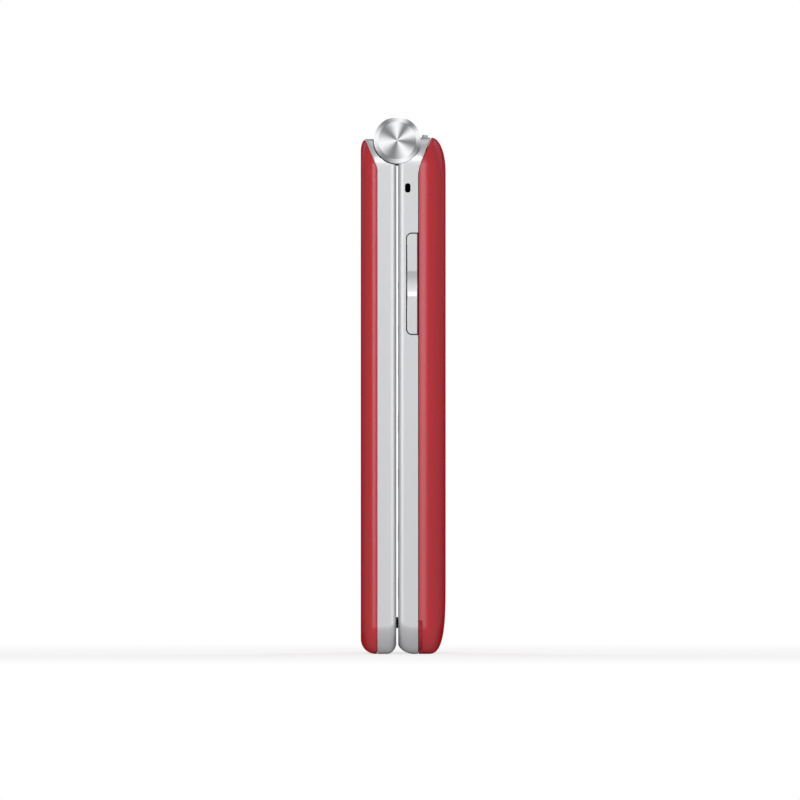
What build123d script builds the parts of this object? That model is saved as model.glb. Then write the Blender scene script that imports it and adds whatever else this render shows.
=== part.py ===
from build123d import *
import math
import os

os.makedirs("parts", exist_ok=True)

# Flip phone, closed and standing on its lower end. +Z runs up to the hinge, the lid faces -Y, the
# battery cover faces +Y and the volume rocker is on the +X side. Millimetres throughout.

# ---- Driving dimensions: the two halves ------------------------------------------------------

body_width = 54.4
base_height = 104.8
lid_top_step = 0.3
lid_depth = 7.2
closed_gap = 0.4
plan_radius = 5.7
lid_frame_depth = 3.8
base_frame_depth = 4.04
seam_groove = 0.15

# Rounded edges: depth behind the face, width drawn in at the face, and power of the curve.
lid_side_round = 3.1
lid_side_draw = 5.0
lid_bottom_round = 3.06
lid_bottom_draw = 3.0
lid_top_round = 1.0
lid_top_draw = 2.4
base_side_round = 5.4
base_side_draw = 7.5
base_bottom_round = 3.7
base_bottom_draw = 13.75
base_top_round = 2.8
base_top_draw = 6.75
inner_side_round = 1.2
inner_side_draw = 0.75
lid_thumb_round = 1.65
lid_thumb_draw = 1.87
base_thumb_round = 2.8
base_thumb_draw = 1.94
even_power = 2.0
full_power = 3.0
soft_power = 1.6
loft_steps = 9

# Seams between frame and cover: straight up the side, then leaning outward under the hinge.
lid_seam_drop = 5.9
lid_seam_lean = 0.43
lid_seam_radius = 3.0
base_seam_drop = 6.6
base_seam_lean = 0.385
base_seam_radius = 8.0

# ---- Driving dimensions: hinge -----------------------------------------------------------------

hinge_drop = 0.6
cap_radius = 4.75
cap_face_radius = 3.8
cap_bevel = 0.45
cap_thickness = 1.25
cap_proud = 0.3
barrel_radius = 4.6
ear_length = 7.5
barrel_bore_radius = 3.2
knuckle_gap = 0.3
swing_clearance = 0.3
shaft_radius = 1.2
running_fit = 0.05
push_fit = 0.02
cartridge_length = 16.6
cartridge_wall = 0.58
cartridge_end = 0.8
cam_radius = 2.4
cam_length = 1.5
spring_radius = 1.95
spring_wire_radius = 0.2
spring_pitch = 1.2
bush_wall = 0.9
bush_reach = 6.0
flex_radius = 1.8
flex_thickness = 0.2
flex_length = 12.0
flex_arc = 300.0

# ---- Driving dimensions: walls and lid pieces -----------------------------------------------

lid_wall = 1.4
lid_cover_wall = 1.2
lid_face_wall = 1.2
base_wall = 1.5
base_face_wall = 1.3
battery_cover_wall = 1.0
cavity_below_barrel = 1.5
piece_fit = 0.05
part_fit = 0.1
overcut = 1.0

outer_window_width = 34.0
outer_window_height = 46.0
outer_window_drop = 33.2
outer_window_radius = 4.0
window_thickness = 0.8
window_ledge = 1.2
outer_display_width = 29.0
outer_display_height = 27.0
outer_display_fall = 6.0
outer_display_depth = 1.6
display_corner = 1.0
camera_drop = 17.2
camera_ring_radius = 3.6
camera_lens_radius = 2.5
camera_body_size = 8.4
camera_body_corner = 1.0
camera_lens_depth = 0.5
camera_lens_recess = 0.3
lid_board_side_gap = 1.8
lid_board_low = 10.0
lid_board_drop = 13.0
lid_board_thickness = 0.8
lid_board_corner = 1.5
main_window_side = 3.7
main_window_height = 63.0
main_window_drop = 46.2
main_window_radius = 2.0
main_window_recess = 0.15
main_display_side = 1.25
main_display_end = 1.5
earpiece_width = 14.0
earpiece_height = 4.6
earpiece_depth = 2.4
earpiece_drop = 9.8
earpiece_corner = 1.5
earpiece_slot_width = 10.0
earpiece_slot_height = 1.6
grille_thickness = 0.4
grille_hole_radius = 0.22
grille_hole_pitch = 0.9
grille_holes = 10
magnet_width = 8.0
magnet_height = 3.0
magnet_depth = 1.4
magnet_corner = 0.3
magnet_x = 9.0
magnet_z = 6.4
bumper_width = 4.6
bumper_height = 2.1
bumper_inset = 10.7
bumper_z = 6.2
bumper_pocket = 0.6
bumper_touch = 0.05
screw_inset = 4.8
lid_screw_low = 6.2
lid_screw_drop = 10.2
screw_radius = 0.8
screw_head_radius = 1.4
screw_head_height = 0.6
lid_screw_length = 4.2
screw_slot_width = 0.35
plug_radius = 1.75
plug_thickness = 0.45
boss_radius = 2.0

# ---- Driving dimensions: keypad ---------------------------------------------------------------

key_travel = 0.3
key_gap = 0.15
keypad_side = 3.0
key_column_space = 1.4
key_row_space = 1.6
first_row_z = 13.4
top_row_fall = 12.5
key_corner = 2.6
key_edge = 0.18
key_flange = 0.35
key_flange_thickness = 0.3
plunger_radius = 1.2
keypad_recess = 0.3
keypad_margin = 1.1
side_key_space = 1.0
side_key_height = 9.4
call_key_fall = 7.1
menu_key_rise = 6.9
nav_width = 21.6
nav_height = 23.4
nav_drop = 38.2
nav_corner = 6.0
nav_ledge = 4.0
select_radius = 4.6
dome_radius = 2.2
dome_height = 0.1
dome_sheet_thickness = 0.1
dome_sheet_corner = 1.0

# ---- Driving dimensions: base pieces --------------------------------------------------------

board_thickness = 1.0
board_side_gap = 0.8
board_low = 2.3
board_corner = 4.0
board_clearance = 0.1
key_room = 0.9
rear_plate_thickness = 1.4
rear_plate_fit = 0.2
base_screw_low = 5.4
base_screw_drop = 11.6
base_screw_length = 2.9
battery_width = 38.0
battery_height = 54.0
battery_thickness = 3.5
battery_rise = 1.5
battery_corner = 1.2
battery_cover_gap = 0.19
bay_wall = 1.0
bay_fit = 0.2
bay_wall_height = 3.2
contact_pitch = 4.0
contact_width = 1.2
contact_thickness = 0.3
contact_foot = 4.6
contact_height = 2.0
contact_count = 3
speaker_radius = 7.5
speaker_depth = 3.1
speaker_rise = 1.6
speaker_wall = 1.0
speaker_slot_count = 5
speaker_slot_pitch = 2.0
speaker_slot_width = 9.0
speaker_slot_height = 0.9
sim_width = 12.6
sim_height = 11.0
sim_depth = 1.4
sim_x = -16.4
sim_rise = 1.9
sim_wall = 0.3
sim_corner = 0.5
sim_window_corner = 1.0
motor_radius = 1.75
motor_length = 8.5
motor_x = 14.0
motor_drop = 12.2
motor_weight_gap = 0.175
antenna_width = 35.0
antenna_height = 3.4
antenna_z = 4.6
antenna_block_depth = 1.9
antenna_thickness = 0.2
antenna_corner = 0.3
usb_width = 7.4
usb_thickness = 2.3
usb_length = 5.2
usb_setback = 0.5
usb_wall = 0.3
usb_inset = 2.65
usb_tongue = 0.5
usb_corner = 0.5
usb_mouth_corner = 0.3
jack_bore_radius = 1.28
jack_wall = 0.37
jack_depth = 11.0
jack_length = 13.2
jack_height = 4.2
jack_drop = 17.8
jack_inset = 2.5
mic_x = 12.0
mic_z = 4.6
mic_width = 3.5
mic_height = 2.6
mic_hole_radius = 0.4
mic_corner = 0.4
shield_width = 22.0
shield_height = 9.0
shield_drop = 18.2
shield_corner = 0.8
rocker_length = 20.4
rocker_drop = 29.1
rocker_inset = 1.8
rocker_corner = 1.0
rocker_groove = 0.2
rocker_proud = 0.25
rocker_depth = 1.95
rocker_scoop_length = 5.3
rocker_scoop_depth = 0.35
rocker_nub_depth = 0.2
rocker_nub_spacing = 13.0
rocker_nub_size = 1.6
rocker_tab_length = 3.0
rocker_tab_depth = 0.3
rocker_tab_reach = 0.5
switch_gap = 0.3
switch_length = 3.0
switch_depth = 1.2
switch_height = 0.9
strap_hole_width = 1.12
strap_hole_height = 1.9
strap_hole_inset = 1.94
strap_hole_drop = 9.65
torch_width = 6.0
torch_head = 1.25
torch_stem = 0.7
torch_proud = 0.7
torch_offset = 5.67
torch_pocket = 0.9
led_width = 2.4
led_height = 0.6
notch_width = 1.1
notch_height = 6.6
notch_depth = 0.6
notch_z = 3.5

# ---- Places worked out from the sizes ---------------------------------------------------------

margin = 5.0
half_width = body_width / 2
lid_height = base_height - lid_top_step
plate_depth = rear_plate_thickness + board_clearance + board_thickness
board_depth = base_face_wall + key_room + dome_height + dome_sheet_thickness
battery_depth = battery_thickness + piece_fit + battery_cover_gap
base_depth = board_depth + plate_depth + battery_depth + battery_cover_wall
gap_y = (lid_depth - base_depth) / 2
lid_inner = gap_y - closed_gap / 2
lid_outer = lid_inner - lid_depth
lid_seam = lid_inner - lid_frame_depth
base_inner = gap_y + closed_gap / 2
base_outer = base_inner + base_depth
base_seam = base_inner + base_frame_depth

hinge_z = base_height - hinge_drop
lid_seam_bend = lid_height - lid_seam_drop
base_seam_bend = base_height - base_seam_drop
barrel_length = body_width - 2 * ear_length
half_barrel = barrel_length / 2
ear_start = half_barrel + knuckle_gap
cap_outer = half_width + cap_proud
cap_inner = cap_outer - cap_thickness
ear_swing_radius = cap_radius + swing_clearance - part_fit
barrel_swing_radius = barrel_radius + swing_clearance
cavity_top = hinge_z - barrel_swing_radius - cavity_below_barrel

lid_cover_inner = lid_outer + lid_cover_wall
lid_face_back = lid_inner - lid_face_wall
outer_window_back = lid_outer + piece_fit + window_thickness
outer_display_front = lid_cover_inner + piece_fit
lid_board_front = outer_display_front + outer_display_depth + piece_fit
lid_board_back = lid_board_front + lid_board_thickness
main_display_front = lid_board_back + piece_fit
main_display_back = lid_face_back - piece_fit
main_window_face = lid_inner - main_window_recess
main_window_back = main_window_face - window_thickness
outer_window_centre = hinge_z - outer_window_drop
outer_display_centre = outer_window_centre - outer_display_fall
camera_z = hinge_z - camera_drop
lid_board_width = body_width - 2 * (lid_wall + lid_board_side_gap)
lid_board_high = hinge_z - lid_board_drop
main_window_width = body_width - 2 * main_window_side
main_window_centre = hinge_z - main_window_drop
main_display_width = main_window_width - 2 * main_display_side
main_display_height = main_window_height - 2 * main_display_end
earpiece_z = hinge_z - earpiece_drop
bumper_x = half_width - bumper_inset
screw_x = half_width - screw_inset
lid_screw_high = hinge_z - lid_screw_drop
base_screw_high = hinge_z - base_screw_drop

keypad_width = body_width - 2 * keypad_side
key_width = (keypad_width - 2 * key_column_space) / 3
key_column_pitch = key_width + key_column_space
side_key_width = (keypad_width - nav_width) / 2 - 2 * side_key_space
side_key_x = nav_width / 2 + side_key_space + side_key_width / 2
nav_z = hinge_z - nav_drop
menu_key_z = nav_z + menu_key_rise
call_key_z = nav_z - call_key_fall
top_row_z = call_key_z - top_row_fall
key_row_pitch = (top_row_z - first_row_z) / 3
key_height = key_row_pitch - key_row_space
keypad_low = first_row_z - key_height / 2
keypad_high = menu_key_z + side_key_height / 2

pocket_floor = base_inner + keypad_recess
base_face_back = base_inner + base_face_wall
flange_front = base_face_back + part_fit
flange_back = flange_front + key_flange_thickness
board_front = base_face_back + key_room + dome_height + dome_sheet_thickness
board_back = board_front + board_thickness
board_width = body_width - 2 * (base_wall + board_side_gap)
dome_sheet_front = board_front - dome_sheet_thickness
dome_top = dome_sheet_front - dome_height
plunger_end = dome_top - key_travel - piece_fit
rear_plate_front = board_back + board_clearance
rear_plate_back = rear_plate_front + rear_plate_thickness
battery_front = rear_plate_back + piece_fit
battery_low = antenna_z + antenna_height / 2 + battery_rise + bay_wall + bay_fit
battery_high = battery_low + battery_height
battery_z = (battery_low + battery_high) / 2
speaker_z = (battery_high + cavity_top) / 2 + speaker_rise
sim_z = battery_high + bay_fit + bay_wall + sim_rise + sim_height / 2
motor_y = rear_plate_back + motor_radius + piece_fit
motor_z = hinge_z - motor_drop
shield_z = hinge_z - shield_drop
usb_y = base_inner + usb_inset
jack_y = base_inner + jack_inset
jack_z = hinge_z - jack_drop
jack_inner_x = -half_width + jack_length
jack_radius = jack_bore_radius + jack_wall
rocker_low_y = base_inner + rocker_inset
rocker_z = hinge_z - rocker_drop
rocker_back = base_seam - seam_groove
rocker_inner_x = half_width + rocker_proud - rocker_depth
rocker_nub_x = rocker_inner_x - rocker_nub_depth
switch_x = rocker_nub_x - switch_gap
strap_hole_y = base_inner + strap_hole_inset
strap_hole_z = hinge_z - strap_hole_drop
torch_y = gap_y + torch_offset

base_side = (base_side_round, base_side_draw, even_power)
base_bottom = (base_bottom_round, base_bottom_draw, full_power)
base_top = (base_top_round, base_top_draw, even_power)
lid_side = (lid_side_round, lid_side_draw, even_power)
lid_bottom = (lid_bottom_round, lid_bottom_draw, even_power)
lid_top = (lid_top_round, lid_top_draw, even_power)
inner_side = (inner_side_round, inner_side_draw, even_power)
lid_thumb = (lid_thumb_round, lid_thumb_draw, soft_power)
base_thumb = (base_thumb_round, base_thumb_draw, soft_power)
square_edge = (piece_fit, 0.0, even_power)


# ---- Shapes that the pieces share --------------------------------------------------------------

def block(x, y, z):
    """A box between two corners, given as (low, high) along each axis."""
    size = Box(x[1] - x[0], y[1] - y[0], z[1] - z[0])
    return Pos((x[0] + x[1]) / 2, (y[0] + y[1]) / 2, (z[0] + z[1]) / 2) * size


def slab(y, x_middle, z_middle, width, height, corner):
    """A rounded rectangle in the front view, between two depths."""
    face = Plane.XZ.offset(-y[0]) * Pos(x_middle, z_middle) * RectangleRounded(width, height, corner)
    return extrude(face, amount=y[1] - y[0], dir=(0, 1, 0))


def rod_x(x, y, z, radius):
    """A cylinder along X between two places."""
    return extrude(Plane.YZ.offset(x[0]) * Pos(y, z) * Circle(radius), amount=x[1] - x[0])


def rod_y(x, y, z, radius):
    """A cylinder along Y between two depths."""
    face = Plane.XZ.offset(-y[0]) * Pos(x, z) * Circle(radius)
    return extrude(face, amount=y[1] - y[0], dir=(0, 1, 0))


def hinge_rod(x, radius):
    """A cylinder on the hinge line."""
    return rod_x(x, gap_y, hinge_z, radius)


def drawn_in(distance, edge):
    """How far an edge is drawn in at a distance behind the face that it rounds into."""
    depth, width, power = edge
    if distance >= depth:
        return 0.0
    rise = 1 - (1 - distance / depth) ** power
    return width * (1 - rise ** (1 / power))


def thinner(edge, wall):
    """The same rounded edge on the inside of a wall."""
    depth, width, power = edge
    return (max(depth - wall, piece_fit), max(width - wall, 0.0), power)


def rounded_end(face_y, inward, height, side, bottom, top, wall):
    """The rounded end of a shell, from its face in to where its walls run straight."""
    reach = max(side[0], bottom[0], top[0])
    sections = []
    for step in range(loft_steps + 1):
        distance = reach * (step / loft_steps) ** 3
        side_draw = drawn_in(distance, side)
        low = wall + drawn_in(distance, bottom)
        high = height - wall - drawn_in(distance, top)
        width = body_width - 2 * (wall + side_draw)
        corner = max(plan_radius - wall - side_draw / 2, key_corner)
        place = Plane.XZ.offset(-(face_y + inward * distance)) * Pos(0, (low + high) / 2)
        sections.append(place * RectangleRounded(width, high - low, corner))
    return loft(sections, ruled=True), face_y + inward * reach


def shell_form(outer_y, inner_y, height, outer_edges, inner_edges):
    """A half of the phone as one closed form, rounded into its outer and inner faces."""
    inward = 1 if inner_y > outer_y else -1
    outer_end, outer_straight = rounded_end(outer_y, inward, height, *outer_edges, 0)
    inner_end, inner_straight = rounded_end(inner_y, -inward, height, *inner_edges, 0)
    low_y = min(outer_straight, inner_straight)
    high_y = max(outer_straight, inner_straight)
    waist = slab((low_y, high_y), 0, height / 2, body_width, height, plan_radius)
    return outer_end + waist + inner_end


def cover_hollow(outer_y, inward, height, edges, wall):
    """The room inside a cover, one wall in from its outer faces."""
    inner_edges = [thinner(edge, wall) for edge in edges]
    face_y = outer_y + inward * wall
    end, straight = rounded_end(face_y, inward, height, *inner_edges, wall)
    far = straight + inward * (lid_depth + base_depth)
    low_y = min(straight, far)
    high_y = max(straight, far)
    width = body_width - 2 * wall
    room = slab((low_y, high_y), 0, height / 2, width, height - 2 * wall, plan_radius - wall)
    return end + room


def beyond_seam(seam_y, outward, bend_z, lean, radius):
    """All the space on the outer side of a seam that rises straight and then leans outward."""
    top_z = base_height + margin
    lean_y = seam_y + outward * lean * (top_z - bend_z)
    far_y = seam_y + outward * (lid_depth + base_depth)
    rise = FilletPolyline((seam_y, -margin), (seam_y, bend_z), (lean_y, top_z), radius=radius)
    back = Polyline((lean_y, top_z), (far_y, top_z), (far_y, -margin), (seam_y, -margin))
    return extrude(make_face(Plane.YZ * (rise + back)), amount=body_width, both=True)


def lid_form():
    """The closed outer form of the lid."""
    outer_edges = (lid_side, lid_bottom, lid_top)
    inner_edges = (inner_side, lid_thumb, square_edge)
    return shell_form(lid_outer, lid_inner, lid_height, outer_edges, inner_edges)


def base_form():
    """The closed outer form of the base."""
    outer_edges = (base_side, base_bottom, base_top)
    inner_edges = (inner_side, base_thumb, square_edge)
    return shell_form(base_outer, base_inner, base_height, outer_edges, inner_edges)


def past_lid_seam():
    """The lid cover's side of its seam."""
    return beyond_seam(lid_seam, -1, lid_seam_bend, lid_seam_lean, lid_seam_radius)


def past_base_seam(groove):
    """The battery cover's side of its seam."""
    return beyond_seam(base_seam + groove, 1, base_seam_bend, base_seam_lean, base_seam_radius)


def screw(x, head_y, z, inward, length):
    """A small slotted screw: its head at a depth, its shank running on along Y."""
    head_end = head_y + inward * screw_head_height
    tip = head_end + inward * length
    head = rod_y(x, sorted((head_y, head_end)), z, screw_head_radius)
    shank = rod_y(x, sorted((head_end, tip)), z, screw_radius)
    slot_end = head_y + inward * screw_head_height / 2
    slot_x = (x - screw_head_radius, x + screw_head_radius)
    slot_z = (z - screw_slot_width / 2, z + screw_slot_width / 2)
    return head + shank - block(slot_x, sorted((head_y - inward, slot_end)), slot_z)


def jack_room(y, wall=0.0):
    """The clear space around the headset jack between two depths, behind a wall."""
    x = (-half_width + wall, jack_inner_x + part_fit)
    half_height = jack_height / 2 + part_fit
    return block(x, y, (jack_z - half_height, jack_z + half_height))


def usb_room(y):
    """The clear space around the USB socket between two depths."""
    half = usb_width / 2 + part_fit
    return block((-half, half), y, (0, usb_setback + usb_length + part_fit))


def lid_screw_places():
    """Where the four lid screws stand in the front view."""
    return [(side * screw_x, z) for side in (-1, 1) for z in (lid_screw_low, lid_screw_high)]


def base_screw_places():
    """Where the four base screws stand in the front view."""
    return [(side * screw_x, z) for side in (-1, 1) for z in (base_screw_low, base_screw_high)]


# ---- Lid ---------------------------------------------------------------------------------------

def lid_outer_cover():
    """Outer skin of the lid, with the window pocket and the bosses that take the screws."""
    edges = (lid_side, lid_bottom, lid_top)
    cover = lid_form() & past_lid_seam()
    cover -= cover_hollow(lid_outer, 1, lid_height, edges, lid_cover_wall)
    for x, z in lid_screw_places():
        cover += rod_y(x, (lid_cover_inner - piece_fit, lid_board_back), z, boss_radius)
        cover -= rod_y(x, (lid_cover_inner, lid_inner), z, screw_radius + push_fit)
    pocket = (lid_outer - margin, outer_window_back)
    width = outer_window_width + 2 * part_fit
    height = outer_window_height + 2 * part_fit
    cover -= slab(pocket, 0, outer_window_centre, width, height, outer_window_radius)
    through = (lid_outer, lid_cover_inner + piece_fit)
    width = outer_window_width - 2 * window_ledge
    height = outer_window_height - 2 * window_ledge
    return cover - slab(through, 0, outer_window_centre, width, height, outer_window_radius)


def lid_inner_housing():
    """Silver half of the lid: a deep frame with the inner face and the seat of the hinge barrel."""
    housing = lid_form() - past_lid_seam()
    room_low = lid_wall
    room_height = cavity_top - room_low
    room = (lid_outer - margin, lid_face_back)
    room_middle = room_low + room_height / 2
    room_width = body_width - 2 * lid_wall
    housing -= slab(room, 0, room_middle, room_width, room_height, plan_radius - lid_wall)
    housing -= hinge_rod((-half_barrel, half_barrel), barrel_radius + push_fit)
    for side in (-1, 1):
        span = sorted((side * half_barrel, side * (half_width + margin)))
        housing -= hinge_rod(span, ear_swing_radius)
    width = main_window_width + 2 * part_fit
    height = main_window_height + 2 * part_fit
    pocket = (main_window_back, lid_inner + margin)
    housing -= slab(pocket, 0, main_window_centre, width, height, main_window_radius)
    opening_width = width - 2 * window_ledge
    opening_height = height - 2 * window_ledge
    through = (lid_face_back - margin, lid_inner)
    housing -= slab(through, 0, main_window_centre, opening_width, opening_height, main_window_radius)
    slot = (lid_face_back - piece_fit, lid_inner + piece_fit)
    slot_radius = earpiece_slot_height / 2 - push_fit
    housing -= slab(slot, 0, earpiece_z, earpiece_slot_width, earpiece_slot_height, slot_radius)
    for x, z in lid_screw_places():
        housing -= rod_y(x, (lid_face_back - margin, lid_inner), z, screw_radius + part_fit)
        head_seat = lid_inner - plug_thickness - screw_head_height - part_fit
        housing -= rod_y(x, (head_seat, lid_inner + piece_fit), z, plug_radius + piece_fit)
    for side in (-1, 1):
        pocket = (lid_inner - bumper_pocket, lid_inner + piece_fit)
        radius = bumper_height / 2 - push_fit
        housing -= slab(pocket, side * bumper_x, bumper_z, bumper_width, bumper_height, radius)
    return housing


def lid_hinge_barrel():
    """The lid's long centre knuckle, a tube that the hinge parts sit in."""
    span = (-half_barrel, half_barrel)
    barrel = hinge_rod(span, barrel_radius) - hinge_rod(span, barrel_bore_radius)
    return chamfer(barrel.edges().filter_by(GeomType.CIRCLE).sort_by(SortBy.RADIUS)[-2:], key_edge)


def outer_window():
    """Dark glass over the outer display, with a hole for the camera."""
    span = (lid_outer + piece_fit, outer_window_back)
    glass = slab(span, 0, outer_window_centre, outer_window_width, outer_window_height, outer_window_radius)
    hole_y = (span[0] - overcut, span[1] + overcut)
    return glass - rod_y(0, hole_y, camera_z, camera_ring_radius + piece_fit)


def outer_display():
    """Small display behind the outer window."""
    span = (outer_display_front, outer_display_front + outer_display_depth)
    size = (outer_display_width, outer_display_height, display_corner)
    return slab(span, 0, outer_display_centre, *size)


def camera_module():
    """Camera body on the lid board, with its ring flush in the window."""
    back = lid_board_front - piece_fit
    body_front = outer_window_back + piece_fit
    size = (camera_body_size, camera_body_size, camera_body_corner)
    body = slab((body_front, back), 0, camera_z, *size)
    ring = rod_y(0, (lid_outer + piece_fit, body_front), camera_z, camera_ring_radius)
    well = rod_y(0, (lid_outer, body_front), camera_z, camera_lens_radius)
    return body + ring - well


def camera_lens():
    """Front glass of the camera, set back in its ring."""
    front = lid_outer + camera_lens_recess
    return rod_y(0, (front, front + camera_lens_depth), camera_z, camera_lens_radius - push_fit)


def main_window():
    """Clear window over the main display."""
    span = (main_window_back, main_window_face)
    return slab(span, 0, main_window_centre, main_window_width, main_window_height, main_window_radius)


def main_display():
    """Main display module between the lid board and the inner face."""
    span = (main_display_front, main_display_back)
    size = (main_display_width, main_display_height, display_corner)
    return slab(span, 0, main_window_centre, *size)


def lid_circuit_board():
    """Board that carries both displays and the camera."""
    height = lid_board_high - lid_board_low
    middle = (lid_board_high + lid_board_low) / 2
    return slab((lid_board_front, lid_board_back), 0, middle, lid_board_width, height, lid_board_corner)


def earpiece_speaker():
    """Receiver behind the slot at the top of the inner face."""
    span = (lid_face_back - piece_fit - earpiece_depth, lid_face_back - piece_fit)
    return slab(span, 0, earpiece_z, earpiece_width, earpiece_height, earpiece_corner)


def earpiece_grille():
    """Perforated strip in the earpiece slot."""
    back = lid_face_back
    span = (back, back + grille_thickness)
    width = earpiece_slot_width - part_fit
    height = earpiece_slot_height - part_fit
    grille = slab(span, 0, earpiece_z, width, height, height / 2 - push_fit)
    for index in range(grille_holes):
        x = (index - (grille_holes - 1) / 2) * grille_hole_pitch
        grille -= rod_y(x, (span[0] - overcut, span[1] + overcut), earpiece_z, grille_hole_radius)
    return grille


def lid_magnet():
    """Magnet that tells the base when the lid is shut."""
    span = (lid_face_back - piece_fit - magnet_depth, lid_face_back - piece_fit)
    return slab(span, magnet_x, magnet_z, magnet_width, magnet_height, magnet_corner)


def lid_bumpers():
    """Two rubber pads at the foot of the inner face that keep the halves apart."""
    pads = []
    for side in (-1, 1):
        span = (lid_inner - bumper_pocket + push_fit, base_inner - bumper_touch)
        width = bumper_width - part_fit
        height = bumper_height - part_fit
        pads.append(slab(span, side * bumper_x, bumper_z, width, height, height / 2 - push_fit))
    return Compound(children=pads)


def lid_screws():
    """Four screws from the inner face into the outer cover's bosses."""
    head_y = lid_inner - plug_thickness - piece_fit
    screws = [screw(x, head_y, z, -1, lid_screw_length - piece_fit) for x, z in lid_screw_places()]
    return Compound(children=screws)


def lid_screw_plugs():
    """Four plugs that hide the lid screws."""
    span = (lid_inner - plug_thickness, lid_inner - push_fit)
    return Compound(children=[rod_y(x, span, z, plug_radius) for x, z in lid_screw_places()])


# ---- Hinge -------------------------------------------------------------------------------------

def hinge_cartridge():
    """Spring can that turns with the lid inside the barrel."""
    outer = barrel_bore_radius - push_fit
    inner = outer - cartridge_wall
    end = half_barrel - part_fit
    start = end - cartridge_length
    can = hinge_rod((start, end), outer)
    can -= hinge_rod((start + cartridge_end, end - cartridge_end), inner)
    return can - hinge_rod((start + cartridge_end, end + overcut), shaft_radius + running_fit)


def hinge_shaft():
    """Shaft fixed in the right ear of the base, with the cam that loads the spring."""
    end = half_barrel - part_fit - cartridge_end - part_fit
    tip = half_barrel - part_fit - cartridge_length + cartridge_end + part_fit
    shaft = hinge_rod((tip, cap_inner - piece_fit), shaft_radius)
    return shaft + hinge_rod((end - cam_length, end), cam_radius)


def hinge_spring():
    """Coil spring around the shaft, between the cam and the far end of the can."""
    start = half_barrel - part_fit - cartridge_length + cartridge_end + spring_wire_radius + piece_fit
    stop = half_barrel - 2 * part_fit - cartridge_end - cam_length - spring_wire_radius - part_fit
    coil = Helix(pitch=spring_pitch, height=stop - start, radius=spring_radius)
    wire = Plane(origin=coil @ 0, z_dir=coil % 0) * Circle(spring_wire_radius)
    return Pos(start, gap_y, hinge_z) * Rot(0, 90, 0) * sweep(wire, path=coil)


def hinge_bush():
    """Hollow pin from the left ear into the barrel, which lets the flex pass."""
    outer = barrel_bore_radius - running_fit
    span = (-cap_inner + piece_fit, -half_barrel + bush_reach)
    bore_x = (span[0] - overcut, span[1] + overcut)
    return hinge_rod(span, outer) - hinge_rod(bore_x, outer - bush_wall)


def hinge_flex():
    """Flexible ribbon rolled up in the barrel on its way from base to lid."""
    start = -half_barrel + part_fit
    arc_face = Circle(flex_radius) - Circle(flex_radius - flex_thickness)
    gap_angle = (360 - flex_arc) / 2
    far = 2 * flex_radius
    rise = far * math.tan(math.radians(gap_angle))
    mouth = make_face(Polyline((0, 0), (-far, rise), (-far, -rise), (0, 0)))
    ribbon = Plane.YZ.offset(start) * Pos(gap_y, hinge_z) * (arc_face - mouth)
    return extrude(ribbon, amount=flex_length)


def hinge_caps():
    """Two turned discs that close the ends of the hinge."""
    rim = cap_outer - cap_bevel
    profile = Polyline(
        (0, cap_inner), (cap_radius, cap_inner), (cap_radius, rim), (cap_face_radius, cap_outer),
        (0, cap_outer), (0, cap_inner),
    )
    disc = revolve(make_face(Plane.XZ * profile), axis=Axis.Z)
    right = Pos(0, gap_y, hinge_z) * Rot(0, 90, 0) * disc
    left = Pos(0, gap_y, hinge_z) * Rot(0, -90, 0) * disc
    return Compound(children=[right, left])


# ---- Keypad ------------------------------------------------------------------------------------

digit_names = ("star", "0", "hash", "7", "8", "9", "4", "5", "6", "1", "2", "3")


def key_places():
    """Every plain key: node name, place, width, height and corner radius."""
    keys = []
    for index, digit in enumerate(digit_names):
        x = (index % 3 - 1) * key_column_pitch
        z = first_row_z + index // 3 * key_row_pitch
        keys.append(("key_" + digit, x, z, key_width, key_height, key_corner))
    side_size = (side_key_width, side_key_height, key_corner)
    for side, call_name, menu_name in ((-1, "key_call", "key_menu_left"), (1, "key_end", "key_menu_right")):
        keys.append((call_name, side * side_key_x, call_key_z, *side_size))
        keys.append((menu_name, side * side_key_x, menu_key_z, *side_size))
    return keys


def nav_switch_places():
    """Heights of the two switches above and below the select key."""
    return [nav_z + side * (nav_height / 2 - nav_ledge / 2) for side in (-1, 1)]


def flat_key(x, z, width, height, corner):
    """A key: cap in the face plate, flange behind it and plunger over its dome."""
    cap = slab((base_inner, flange_back), x, z, width, height, corner)
    cap = chamfer(cap.faces().sort_by(Axis.Y)[0].edges(), key_edge)
    flange_y = (flange_front, flange_back)
    flange = slab(flange_y, x, z, width + 2 * key_flange, height + 2 * key_flange, corner)
    return cap + flange + rod_y(x, (flange_back, plunger_end), z, plunger_radius)


def nav_ring():
    """Four-way ring around the select key, hung on two tabs at its waist."""
    ring = slab((base_inner, flange_back), 0, nav_z, nav_width, nav_height, nav_corner)
    ring = chamfer(ring.faces().sort_by(Axis.Y)[0].edges(), key_edge)
    half = nav_width / 2 + key_flange
    ring += block((-half, half), (flange_front, flange_back), (nav_z - nav_ledge / 2, nav_z + nav_ledge / 2))
    for z in nav_switch_places():
        ring += rod_y(0, (flange_back, plunger_end), z, plunger_radius)
    step_y = base_inner + base_face_wall / 2
    ring -= rod_y(0, (base_inner - overcut, step_y), nav_z, select_radius + key_gap)
    return ring - rod_y(0, (step_y, plunger_end + overcut), nav_z, select_radius + key_flange + key_gap)


def key_select():
    """Round key in the middle of the ring."""
    cap = rod_y(0, (base_inner, flange_back), nav_z, select_radius)
    cap = chamfer(cap.faces().sort_by(Axis.Y)[0].edges(), key_edge)
    flange = rod_y(0, (flange_front, flange_back), nav_z, select_radius + key_flange)
    return cap + flange + rod_y(0, (flange_back, plunger_end), nav_z, plunger_radius)


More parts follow.
